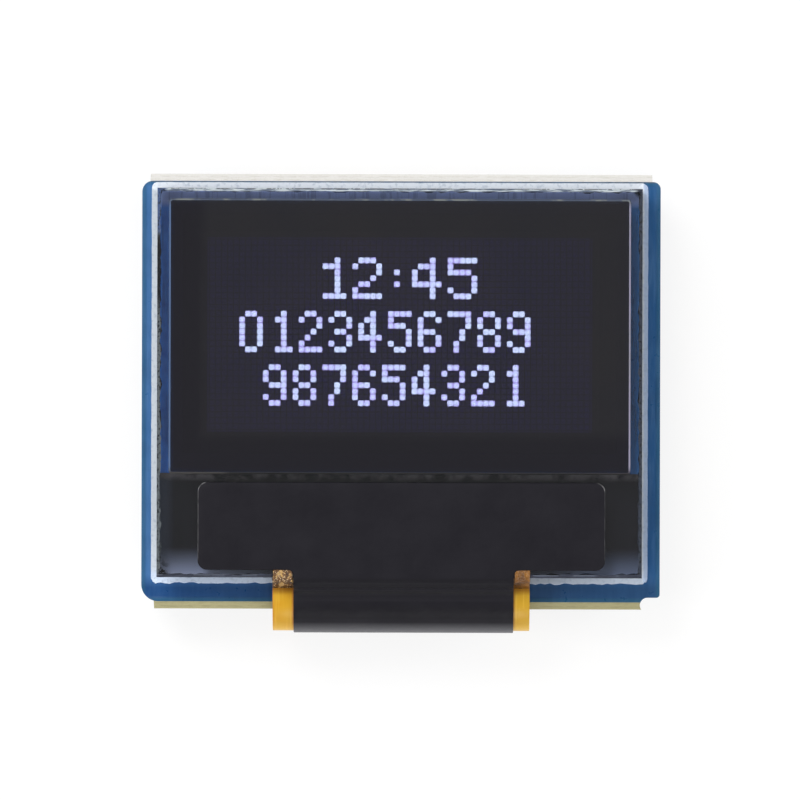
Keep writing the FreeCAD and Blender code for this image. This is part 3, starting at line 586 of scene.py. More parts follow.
@paints("polarizer film", Roughness=0.16, IOR=1.49, Alpha=0.64)
def paint_polarizer(f):
    """Dark film that lets the dots through, faintly uneven."""
    f.lay(f.mix(f.grain(2.5), f.colours.polarizer, (41, 40, 43)))
    f.lay((32, 31, 37), f.most(f.span(f.x, -5.6, -6.0), f.span(f.y, -1.1, -1.5)))


@paints("polarizer rim", Roughness=0.4, Specular_IOR_Level=0.15)
def paint_polarizer_rim(f):
    """The film's cut edge, with painted light: it catches the light at the top and on the right,
    and a faint painted highlight runs along the bottom.
    """
    right, upper = f.span(f.x, 5.0, 6.6), f.span(f.y, 5.4, 5.62)
    f.lay(f.mix(right, (72, 94, 128), (138, 134, 156)))
    f.lay((66, 75, 92), upper)
    glints = f.span(f.streaks((1.6, 1.6, 1.0), 1.6), 0.55, 0.85, 0.0, 0.7)
    f.lay((118, 123, 118), f.times(glints, f.most(upper, f.times(right, 0.5))))
    # Painted highlight: a faint grey line along the lower edge, darker towards the left.
    lower_highlight = f.mix(f.span(f.x, -5.0, -5.3), (30, 28, 26), (58, 55, 51))
    f.lay(lower_highlight, f.span(f.y, -2.2, -2.4))
    crest = box_mm("polarizer_film")[1].z
    f.lay((30, 32, 40), f.span(f.z, crest - 0.03, crest - 0.055))


@paints("ledge tracks", Roughness=0.6, Specular_IOR_Level=0.0)
def paint_ledge_tracks(f):
    """Thin-film tracks fanning down the ledge glass on a nearly black sheet of painted shade for
    the hollow behind the ledge; painted light makes it bluer towards the rim and the foot.
    """
    low, _ = box_mm("front_glass")
    lines = f.span(f.streaks((2.4, 0.15, 1.0), 1.2), 0.3, 0.7)
    # Painted shade: nearly black, for the shaded hollow behind the ledge.
    f.lay(f.mix(lines, (17, 17, 21), (21, 21, 26)))
    f.lay((35, 33, 38), f.span(f.x, 4.0, 6.0, 0.0, 0.5))
    # Painted light: lighter and bluer near the left rim and the foot.
    f.lay((54, 60, 72), f.span(f.x, low.x + 0.5, low.x + 0.2, 0.0, 0.8))
    away = f.span(f.sum("ABSOLUTE", f.x), 3.0, 5.2)
    near = f.sum("POWER", f.span(f.y, low.y + 0.9, low.y + 0.12), 1.5)
    tint = f.mix(f.span(f.x, -1.0, 1.0), (152, 158, 180), (114, 123, 146))
    f.lay(tint, f.times(near, away))
    resin = f.times(f.span(f.y, -2.66, -2.5), f.span(f.grain(0.5, 1.4), 0.2, 0.8))
    f.lay((86, 81, 82), resin)
    corner = f.times(
        f.span(f.x, low.x + 0.42, low.x + 0.2), f.span(f.y, low.y + 0.6, low.y + 0.2)
    )
    f.lay((10, 11, 14), f.times(corner, f.span(f.grain(0.12, 1.8), 0.5, 0.7)))


def paint_film(f, first, second, alpha):
    """A thin resin film, streaked and half clear."""
    f.set("Roughness", 0.35)
    f.set("Alpha", alpha)
    f.lay(f.mix(f.grain(0.12, 1.6), first, second))


@paints("amber film", Roughness=0.36, IOR=1.5, Specular_IOR_Level=0.25)
def paint_amber_film(f):
    """Amber film with copper tracks inside it, with a painted shadow beside the tape and a painted
    highlight where it turns round the fold.
    """
    low, high = box_mm("flex_contacts")
    pitch = (high.x - low.x - 0.3) / FLEX_GAPS
    track = f.off_middle(f.sum("SUBTRACT", f.x, low.x - 0.1), pitch)
    aside = f.apart(f.x, 0.05)
    inside = f.times(f.span(track, 0.34, 0.28), f.span(aside, 3.1, 3.04))
    f.lay(f.mix(f.grain(0.4), f.colours.flex, (196, 142, 30)))
    f.lay((232, 186, 76), f.span(f.streaks((9.0, 0.5, 0.5), 1.4), 0.5, 0.9, 0.0, 0.4))
    f.lay((172, 148, 52), f.span(f.x, -1.0, 1.0, 0.0, 0.3))
    f.lay((182, 118, 32), f.times(f.span(aside, 3.74, 3.8), 0.6))
    # Painted shadow: dark red where the tape's edge shades the film.
    neck = f.span(f.apart(f.x, 0.09), 3.3, 3.27)
    tape_shadow = f.times(neck, f.span(f.x, -1.0, 1.0, 0.5, 0.35))
    f.lay((160, 80, 54), f.times(tape_shadow, f.span(f.z, -0.1, 0.0)))
    near_glue = f.times(f.span(f.y, -6.0, -5.84), f.span(f.z, 0.9, 1.1))
    f.lay((128, 74, 14), f.times(near_glue, 0.7))
    # Painted highlight: paler where the film turns round the fold.
    f.lay((230, 184, 64), f.span(f.y, -6.82, -7.02, 0.0, 0.6))
    f.lay((186, 112, 46), f.times(inside, 0.65))
    f.bump(inside, 0.008)
    f.bump(f.grain(0.5), 0.002)


@paints("black tape", IOR=1.45, Specular_IOR_Level=0.1)
def paint_black_tape(f):
    """Black plastic tape with a soft sheen, with a painted sheen where it turns under and painted
    shade and light over its step down from the glass.
    """
    f.lay(f.mix(f.grain(1.3), f.colours.tape, (35, 34, 39)))
    # Painted shade and light: bands over the step down from the glass that even out its shading.
    f.lay((29, 28, 32), f.band(f.y, (-5.45, -5.55), (-6.12, -6.02)))
    front, soft = f.span(f.z, 0.8, 1.0), 0.03
    for low, high, shade in (
        (-5.77, -5.6, (24, 23, 28)),
        (-5.86, -5.79, (38, 37, 42)),
        (-6.16, -5.97, (37, 36, 41)),
    ):
        f.lay(shade, f.times(f.band(f.y, (low - soft, low), (high + soft, high)), front))
    # Painted shade on the upper part of the fold.
    f.lay((20, 19, 23), f.times(f.band(f.y, (-6.2, -6.45), (-6.74, -6.68)), 0.5))
    # Painted sheen: pale grey where the tape turns under.
    f.lay((112, 112, 116), f.times(f.span(f.y, -6.8, -7.1), 0.75))
    f.set("Roughness", f.span(f.grain(0.12), 0.0, 1.0, 0.38, 0.5))
    f.bump(f.grain(1.1), 0.02)
    f.bump(f.grain(0.07), 0.0015)


@paints("tape rim", Roughness=0.6, Specular_IOR_Level=0.08)
def paint_tape_rim(f):
    """The tape's rounded edge, with a painted highlight that is brightest at the two upper corners,
    fainter on the left and faintest on the right.
    """
    low, high = box_mm("protective_tape")
    # Painted highlight, uneven along the edge.
    painted_rim_light = f.span(f.streaks((3.0, 3.0, 1.0), 1.4), 0.25, 0.7, 0.35, 1.0)
    sides = f.band(f.y, (high.y - 0.2, high.y - 0.3), (-5.0, -4.85))
    left = f.times(f.span(f.x, low.x + 0.1, low.x + 0.03, 0.0, 0.34), sides)
    right = f.times(f.span(f.x, high.x - 0.1, high.x - 0.03, 0.0, 0.24), sides)
    half = (high.x - low.x) / 2
    corner = f.span(f.apart(f.x, (low.x + high.x) / 2), half - 0.26, half - 0.18)
    corner = f.times(corner, f.span(f.y, high.y - 0.3, high.y - 0.2))
    f.lay((24, 23, 28))
    f.lay((136, 136, 138), f.times(painted_rim_light, f.most(corner, f.most(left, right))))


@paints("edge resin", Roughness=0.28)
def paint_clear_glue(f):
    """Brown resin with specks and small bubbles; the pale specks are painted glints on the bubbles.
    """
    f.lay(f.mix(f.grain(0.08, 1.8), f.colours.glue, (64, 40, 18)))
    # Painted highlights: pale specks where the bubbles catch the light.
    f.lay((206, 176, 130), f.specks(0.055, 0.3))
    f.lay((188, 150, 90), f.span(f.streaks((9.0, 5.0, 5.0), 1.8), 0.62, 0.85))
    cloudy = f.span(f.streaks((3.0, 2.0, 2.0), 1.2), 0.35, 0.9)
    f.lay(f.mix(cloudy, (94, 57, 12), (150, 99, 28)), f.span(f.x, 0.0, 1.0))
    f.bump(f.grain(0.07, 1.5), 0.02)


def paint_metal(f, first, second, roughness, relief=0.004):
    """Plated or soldered metal."""
    f.set("Metallic", 1.0)
    cloud = f.grain(0.14, 1.2)
    f.lay(f.mix(cloud, first, second))
    f.set("Roughness", f.span(f.grain(0.06), 0.0, 1.0, roughness, roughness + 0.16))
    f.bump(cloud, relief)


def paint_moulded(f, first, second, roughness, grain, relief):
    """Ceramic or moulded resin with a fine grain."""
    f.lay(f.mix(f.grain(grain, 1.2), first, second))
    f.set("Roughness", f.span(f.grain(grain * 2), 0.0, 1.0, roughness, roughness + 0.12))
    f.bump(f.grain(grain, 1.2), relief)


# Plain finishes by their slots: a function, the material's name, two tones and its own values.
PLAIN = {
    "adhesive_tape": (paint_cloth_sheet, "mounting foam", (52, 52, 54), (66, 66, 68), 0.08),
    "black_foam": (paint_cloth_sheet, "ledge foam", (26, 26, 28), (38, 38, 40), 0.06),
    "desiccant": (paint_cloth_sheet, "drying sheet", (58, 58, 60), (70, 70, 72), 0.1),
    "silicon": (paint_metal, "polished silicon", (92, 94, 100), (104, 104, 112), 0.12, 0.0005),
    "bond_film": (paint_film, "bonding film", (92, 66, 34), (148, 112, 62), 0.75),
    "gold_plate": (paint_metal, "gold plate", (250, 206, 120), (236, 190, 104), 0.22, 0.003),
    "solder": (paint_metal, "solder", (206, 208, 212), (178, 181, 188), 0.2, 0.01),
    "tin_plate": (paint_metal, "tin plate", (208, 208, 206), (188, 188, 186), 0.3),
    "moulded_epoxy": (
        paint_moulded, "moulded resin", (34, 34, 36), (44, 44, 46), 0.5, 0.03, 0.004
    ),
    "capacitor_ceramic": (
        paint_moulded, "capacitor body", (176, 142, 104), (158, 124, 88), 0.42, 0.05, 0.002
    ),
    "white_ceramic": (
        paint_moulded, "resistor body", (228, 226, 220), (212, 210, 204), 0.5, 0.05, 0.002
    ),
    "resistor_coat": (
        paint_moulded, "resistor coat", (26, 26, 30), (34, 34, 38), 0.3, 0.06, 0.002
    ),
}


def make_materials():
    """Makes the shared effects, then every finish by its slot's name."""
    for make in (make_grain, make_streaks, make_specks, make_inset):
        make()
    for slot, (paint, name, values) in PAINTS.items():
        f = Finish(name, **values)
        paint(f)
        FINISHES[slot] = f.material
    for slot, (paint, name, *values) in PLAIN.items():
        f = Finish(name)
        paint(f, *values)
        FINISHES[slot] = f.material


# shaping


def clear_selection():
    """Object mode with nothing selected."""
    if bpy.context.object and bpy.context.object.mode != "OBJECT":
        bpy.ops.object.mode_set(mode="OBJECT")
    bpy.ops.object.select_all(action="DESELECT")


def pick(piece):
    """Selects one object and makes it active."""
    clear_selection()
    piece.select_set(True)
    bpy.context.view_layer.objects.active = piece


def edit(piece):
    """Edit mode on one object with all of it selected."""
    pick(piece)
    bpy.ops.object.mode_set(mode="EDIT")
    bpy.ops.mesh.select_mode(type="VERT")
    bpy.ops.mesh.select_all(action="SELECT")


def close():
    """Leaves edit mode."""
    bpy.ops.object.mode_set(mode="OBJECT")


def choose(piece, test, kind="EDGE"):
    """In edit mode, selects only the vertices, edges or faces that pass a test."""
    bpy.ops.mesh.select_mode(type=kind)
    bpy.ops.mesh.select_all(action="DESELECT")
    mesh = bmesh.from_edit_mesh(piece.data)
    for part in {"VERT": mesh.verts, "EDGE": mesh.edges, "FACE": mesh.faces}[kind]:
        if test(part):
            part.select_set(True)
    mesh.select_flush_mode()
    bmesh.update_edit_mesh(piece.data)


def settle():
    """Puts the active object's place, turn and size into its mesh."""
    bpy.ops.object.transform_apply(location=True, rotation=True, scale=True)
    return bpy.context.object


def copy_of(node, name):
    """A copy of a frame node's mesh, with its loose triangles joined into clean faces."""
    pick(NODES[node])
    bpy.ops.object.duplicate()
    piece = bpy.context.object
    piece.name = piece.data.name = name
    piece.parent = None
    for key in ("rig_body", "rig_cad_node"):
        if key in piece:
            del piece[key]
    edit(piece)
    bpy.ops.mesh.remove_doubles(threshold=MERGE)
    bpy.ops.mesh.dissolve_limited(angle_limit=math.radians(1.0))
    close()
    return piece


def new_box(name, low, high):
    """A box between two corners, with its place in its mesh."""
    clear_selection()
    low, high = Vector(low), Vector(high)
    bpy.ops.mesh.primitive_cube_add(size=1.0, location=(low + high) / 2, scale=high - low)
    piece = settle()
    piece.name = piece.data.name = name
    return piece


def cut_across(piece, axis, places):
    """Cuts a mesh by planes along one axis, so that it can be made uneven."""
    edit(piece)
    normal = Vector()
    normal[axis] = 1.0
    for place in places:
        bpy.ops.mesh.select_all(action="SELECT")
        bpy.ops.mesh.bisect(plane_co=place * normal, plane_no=normal)
    close()


def steps(low, high, size):
    """Places from low to high, about one size apart, without the two ends."""
    count = max(1, round((high - low) / size))
    return [low + (high - low) * k / count for k in range(1, count)]


def change(piece, kind, **settings):
    """Sets and applies one modifier."""
    pick(piece)
    modifier = piece.modifiers.new(kind.lower(), kind)
    for name, value in settings.items():
        setattr(modifier, name, value)
    bpy.ops.object.modifier_apply(modifier=modifier.name)


def round_edges(piece, width, angle=60.0):
    """Rounds every edge sharper than an angle."""
    sharp = {"limit_method": "ANGLE", "angle_limit": math.radians(angle)}
    change(piece, "BEVEL", width=width, segments=2, **sharp)


def wander(piece, strength, size, direction, seed, group=""):
    """Moves a mesh's points by a cloud of one size along one direction."""
    cloud = bpy.data.textures.new(f"{piece.name} cloud", "CLOUDS")
    cloud.noise_scale, cloud.noise_depth = size, 2
    offset = bpy.data.objects.new(f"{piece.name} place", None)
    bpy.context.scene.collection.objects.link(offset)
    offset.location = [seed * share * size for share in (3.1, 1.7, 2.3)]
    bpy.context.view_layer.update()
    places = {"texture_coords": "OBJECT", "texture_coords_object": offset, "vertex_group": group}
    moves = {"direction": direction, "strength": strength, "mid_level": NOISE_MEAN}
    change(piece, "DISPLACE", texture=cloud, **places, **moves)
    bpy.data.objects.remove(offset)
    bpy.data.textures.remove(cloud)


def group_points(piece, name, test):
    """Names the points of a mesh that pass a test."""
    group = piece.vertex_groups.new(name=name)
    group.add([v.index for v in piece.data.vertices if test(v.co)], 1.0, "REPLACE")


def smooth(piece, angle=35.0):
    """Smooth shading, with edges sharper than an angle kept."""
    pick(piece)
    bpy.ops.object.shade_smooth_by_angle(angle=math.radians(angle))


def finish_piece(piece, slot, *nodes, finish=None, others=()):
    """Gives a piece its finish, and other ones to the faces that pass their tests."""
    clear_selection()
    piece.data.materials.clear()
    for name in (finish or slot, *(other for other, _ in others)):
        piece.data.materials.append(FINISHES[name])
    for face in piece.data.polygons:
        passed = [place for place, (_, test) in enumerate(others, 1) if test(face)]
        face.material_index = passed[0] if passed else 0
    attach(piece, "root")
    if nodes:
        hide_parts(*nodes)


# operators


class PaintModule(bpy.types.Operator):
    """Make every finish and give the frame's own pieces theirs"""

    bl_idname = "display_module.paint"
    bl_label = "Finishes"

    def execute(self, context):
        make_materials()
        for row in frame["record"]["materials"]:
            name = row.get("slot")
            for node in NODES.values():
                slots = node.material_slots
                if slots and slots[0].material.name.split(".")[0] == name:
                    for slot in slots:
                        slot.material = FINISHES[name]
        return {"FINISHED"}


class ShapeInk(bpy.types.Operator):
    """Shape the printed frame line with its torn edges"""

    bl_idname = "display_module.ink"
    bl_label = "Printed Line"

    def execute(self, context):
        tear, seed = context.scene.module_sizes.ink_tear, context.scene.module_studio.seed
        line = copy_of("printed_frame", "frame_line")
        low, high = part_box("printed_frame")
        cut_across(line, 0, steps(low.x, high.x, 0.07 * MM))
        cut_across(line, 1, steps(low.y, high.y, 0.16 * MM))
        group_points(line, "foot", lambda p: p.y < low.y + 0.1 * MM)
        wander(line, tear * 0.7, 0.12 * MM, "X", seed)
        wander(line, tear * 0.7, 0.12 * MM, "Y", seed + 1)
        wander(line, tear * 4.0, 0.09 * MM, "Y", seed + 3, "foot")
        smooth(line, 60.0)
        finish_piece(line, "white_ink", "printed_frame")
        return {"FINISHED"}


class ShapeGlass(bpy.types.Operator):
    """Shape the front glass, the cap glass behind it and the tracks on the ledge with their painted
    shade
    """

    bl_idname = "display_module.glass"
    bl_label = "Glass"

    CHIP_LENGTH = 0.11 * MM  # mean length of one chip along the rim
    LEVEL, UPRIGHT = 0.97, 0.1  # a face's normal is steeper than the one or flatter than the other

    def execute(self, context):
        chip, seed = context.scene.module_sizes.glass_chip, context.scene.module_studio.seed
        self.front(chip, seed)
        self.cap(chip)
        self.tracks()
        return {"FINISHED"}

    def front(self, chip, seed):
        """The full-size front glass, with a broken edge of uneven width."""
        low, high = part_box("front_glass")
        low.z += 2 * LAYER
        plate = new_box("front_plate", low, high)
        edit(plate)
        for axis in (0, 1):
            span = high[axis] - low[axis]
            choose(plate, lambda e: abs(e.verts[0].co[axis] - e.verts[1].co[axis]) > 0.9 * span)
            bpy.ops.mesh.subdivide(number_cuts=round(span / self.CHIP_LENGTH))
        choose(plate, lambda e: self.on_rim(e, low, high))
        bpy.ops.mesh.bevel(offset=chip, segments=1, affect="EDGES")
        close()
        middle, half = (low + high) / 2, (high - low) / 2
        for v in plate.data.vertices:
            away = v.co - middle
            gaps = [half[axis] - abs(away[axis]) for axis in (0, 1)]
            if min(gaps) > 1.5 * chip:
                continue
            spot = v.co / MM
            rough = noise.noise(spot * 4.0 + Vector((seed, 0, 0))) + 0.8 * noise.noise(spot * 11.0)
            step = chip * 0.75 * rough
            if min(gaps) < MERGE * 5:  # on a side: the broken edge runs up and down
                if step > 0:
                    v.co.z -= math.copysign(min(step, 0.5 * chip), away.z)
            else:
                axis = 0 if gaps[0] < gaps[1] else 1
                v.co[axis] -= math.copysign(step + 0.02 * MM, away[axis])
        edit(plate)
        choose(plate, lambda p: abs(p.normal.z) > 0.9999, "FACE")
        bpy.ops.mesh.dissolve_limited(angle_limit=math.radians(0.1))
        close()
        chipped = ("glass_edge", lambda face: self.UPRIGHT < abs(face.normal.z) < self.LEVEL)
        upright = ("glass_side", lambda face: abs(face.normal.z) <= self.UPRIGHT)
        finish_piece(plate, "display_glass", "front_glass", others=(chipped, upright))

    def on_rim(self, edge, low, high):
        """Whether an edge lies along the plate's outline, above or below."""
        first, second = (v.co for v in edge.verts)
        return abs(first.z - second.z) <= MERGE and any(
            abs(first[axis] - side[axis]) < MERGE and abs(second[axis] - side[axis]) < MERGE
            for axis in (0, 1)
            for side in (low, high)
        )

    def cap(self, chip):
        """The recessed cap glass behind the upper part, with its ground sides."""
        cap = copy_of("cap_glass", "cap_plate")
        low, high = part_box("cap_glass")
        edit(cap)
        for level, step in ((low.z, LAYER), (high.z, -LAYER)):
            choose(cap, lambda v: abs(v.co.z - level) < MERGE, "VERT")
            bpy.ops.transform.translate(value=(0.0, 0.0, step))
        choose(cap, lambda e: self.on_rim(e, low, high))
        bpy.ops.mesh.bevel(offset=0.3 * chip, segments=2, affect="EDGES")
        close()
        middle, half = (low + high) / 2, (high - low) / 2

        def outer_side(face):
            gaps = [half[axis] - abs(face.center[axis] - middle[axis]) for axis in (0, 1)]
            return abs(face.normal.z) < self.LEVEL and min(gaps) < 0.4 * chip

        finish_piece(cap, "display_glass", "cap_glass", others=(("glass_side", outer_side),))

    def tracks(self):
        """The thin-film tracks behind the ledge, between the bonds and the glass, on one dark sheet
        that carries painted shade.
        """
        low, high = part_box("front_glass")
        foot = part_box("cap_glass")[0].y
        start = Vector((low.x + 0.05 * MM, low.y + 0.05 * MM, low.z + 0.25 * LAYER))
        end = Vector((high.x - 0.05 * MM, foot + 0.17 * MM, low.z + 1.5 * LAYER))
        finish_piece(new_box("ledge_tracks", start, end), "emitter", finish="ledge_tracks")


class ShapePolarizer(bpy.types.Operator):
    """Shape the polarizer with its cut edge"""

    bl_idname = "display_module.polarizer"
    bl_label = "Polarizer"

    def execute(self, context):
        film = copy_of("polarizer_film", "polarizer_sheet")
        low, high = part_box("polarizer_film")
        edit(film)
        choose(film, lambda e: all(v.co.z > high.z - MERGE for v in e.verts))
        bpy.ops.mesh.bevel(offset=context.scene.module_sizes.film_rim, segments=2, affect="EDGES")
        choose(film, lambda v: v.co.z < low.z + MERGE, "VERT")
        bpy.ops.transform.translate(value=(0.0, 0.0, LAYER))
        close()
        rim = ("polarizer_rim", lambda face: abs(face.normal.z) < 0.98)
        finish_piece(film, "polarizer", "polarizer_film", others=(rim,))
        return {"FINISHED"}


class ShapeDots(bpy.types.Operator):
    """Shape the lit dots, each as wide as its cell"""

    bl_idname = "display_module.dots"
    bl_label = "Lit Dots"

    def execute(self, context):
        pitch = context.scene.module_sizes.dot_pitch
        dots = copy_of("lit_pixels", "lit_dots")
        edit(dots)
        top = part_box("lit_pixels")[1].z
        choose(dots, lambda v: v.co.z > top - MERGE, "VERT")
        bpy.ops.transform.translate(value=(0.0, 0.0, -0.25 * LAYER))
        close()
        low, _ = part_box("emitter_layer")
        slit = 0.005  # a share of the cell on each side, so that two dots never touch
        for v in dots.data.vertices:
            for axis in (0, 1):
                start = low[axis] + MATRIX_BORDER * MM
                share = (v.co[axis] - start) / pitch
                cell = math.floor(share)
                side = 1 - slit if share - cell > 0.5 else slit
                v.co[axis] = start + (cell + side) * pitch
        finish_piece(dots, "lit_pixel", "lit_pixels")
        return {"FINISHED"}


class ShapeFlex(bpy.types.Operator):
    """Shape the amber flex round its fold"""

    bl_idname = "display_module.flex"
    bl_label = "Flex"

    def execute(self, context):
        flex = copy_of("flex_cable", "amber_flex")
        low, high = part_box("flex_cable")
        cut_across(flex, 0, steps(low.x, high.x, 0.4 * MM))
        round_edges(flex, context.scene.module_sizes.flex_rim)
        smooth(flex)
        finish_piece(flex, "amber_film", "flex_cable")
        return {"FINISHED"}


class ShapeTape(bpy.types.Operator):
    """Shape the black tape over the ledge and round the fold"""

    bl_idname = "display_module.tape"
    bl_label = "Black Tape"

    def execute(self, context):
        tape = copy_of("protective_tape", "black_tape_strip")
        low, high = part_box("protective_tape")
        cut_across(tape, 0, steps(low.x, high.x, 0.33 * MM))
        cut_across(tape, 1, steps(-6.0 * MM, high.y, 0.28 * MM))
        round_edges(tape, context.scene.module_sizes.tape_rim)
        group_points(tape, "top", lambda p: p.z > high.z - 0.012 * MM)
        wander(tape, 0.012 * MM, 1.6 * MM, "Z", context.scene.module_studio.seed, "top")
        smooth(tape, 50.0)
        glass_low, glass_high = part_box("front_glass")

        # The rim faces on the glass, which take the tape rim's painted highlight.
        def painted_rim_light(face):
            on_glass = face.center.y > glass_low.y and face.center.z > glass_high.z
            return on_glass and abs(face.normal.z) < 0.96

        finish_piece(tape, "black_tape", "protective_tape", others=(("tape_rim", painted_rim_light),))
        return {"FINISHED"}


class ShapeGlue(bpy.types.Operator):
    """Shape the resin along the glass's lower edge"""

    bl_idname = "display_module.glue"
    bl_label = "Edge Resin"

    def execute(self, context):
        seed = context.scene.module_studio.seed
        glue = copy_of("edge_glue", "edge_resin")
        low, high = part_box("edge_glue")
        for axis in (0, 1):
            cut_across(glue, axis, steps(low[axis], high[axis], 0.06 * MM))
        group_points(glue, "free", lambda p: p.z > low.z + 0.01 * MM and p.y < high.y - 0.01 * MM)
        wander(glue, 0.07 * MM, 0.09 * MM, "Z", seed, "free")
        wander(glue, 0.05 * MM, 0.12 * MM, "Y", seed + 2, "free")
        smooth(glue, 70.0)
        finish_piece(glue, "clear_glue", "edge_glue")
        left, right = (side * MM for side in NECK)
        self.lip("resin_lip_left", low.x + 0.02 * MM, left - 0.03 * MM, seed)
        self.lip("resin_lip_right", right + 0.03 * MM, high.x, seed + 1)
        return {"FINISHED"}

    def lip(self, name, left, right, seed):
        """Resin that ran over the glass's lower edge beside the tape."""
        glass_low, glass_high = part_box("front_glass")
        foot, front = glass_low.y, glass_high.z
        start, end = foot - 0.13 * MM, foot + 0.24 * MM
        lip = new_box(name, (left, start, front + LAYER), (right, end, front + 0.05 * MM))
        cut_across(lip, 1, [foot - 0.012 * MM])
        edit(lip)
        hangs = foot - 0.02 * MM
        choose(lip, lambda p: p.normal.z < -0.9 and p.calc_center_median().y < hangs, "FACE")
        bpy.ops.mesh.extrude_region_move(TRANSFORM_OT_translate={"value": (0.0, 0.0, -0.3 * MM)})
        close()
        cut_across(lip, 0, steps(left, right, 0.05 * MM))
        cut_across(lip, 1, steps(foot, end, 0.05 * MM))
        round_edges(lip, 0.016 * MM)
        group_points(lip, "free", lambda p: p.z > front + 2 * LAYER or p.y < foot - 0.1 * MM)
        wander(lip, 0.05 * MM, 0.08 * MM, "Y", seed, "free")
        wander(lip, 0.02 * MM, 0.07 * MM, "Z", seed + 4, "free")
        smooth(lip, 70.0)
        finish_piece(lip, "clear_glue")


class ShapeBackParts(bpy.types.Operator):
    """Shape the parts soldered to the back"""

    bl_idname = "display_module.back_parts"
    bl_label = "Back Parts"

    def execute(self, context):
        parts = []
        for node in sorted(NODES):
            if node.endswith("_terminals"):
                parts.append((node, 0.25, "tin_plate"))
            elif node.endswith("_overcoat"):
                parts.append((node, 0.3, "resistor_coat"))
            elif node.endswith("_body") and node != "regulator_body":
                kind = "capacitor_ceramic" if "capacitor" in node else "white_ceramic"
                parts.append((node, 0.6, kind))
        parts += [
            ("regulator_body", 1.0, "moulded_epoxy"),
            ("regulator_leads", 0.5, "tin_plate"),
            ("component_solder", 0.5, "solder"),
            ("flex_solder", 0.4, "solder"),
        ]
        for node, share, finish in parts:
            piece = copy_of(node, f"{node}_finished")
            round_edges(piece, context.scene.module_sizes.part_rim * share, 35.0)
            smooth(piece)
            finish_piece(piece, finish, node)
        return {"FINISHED"}


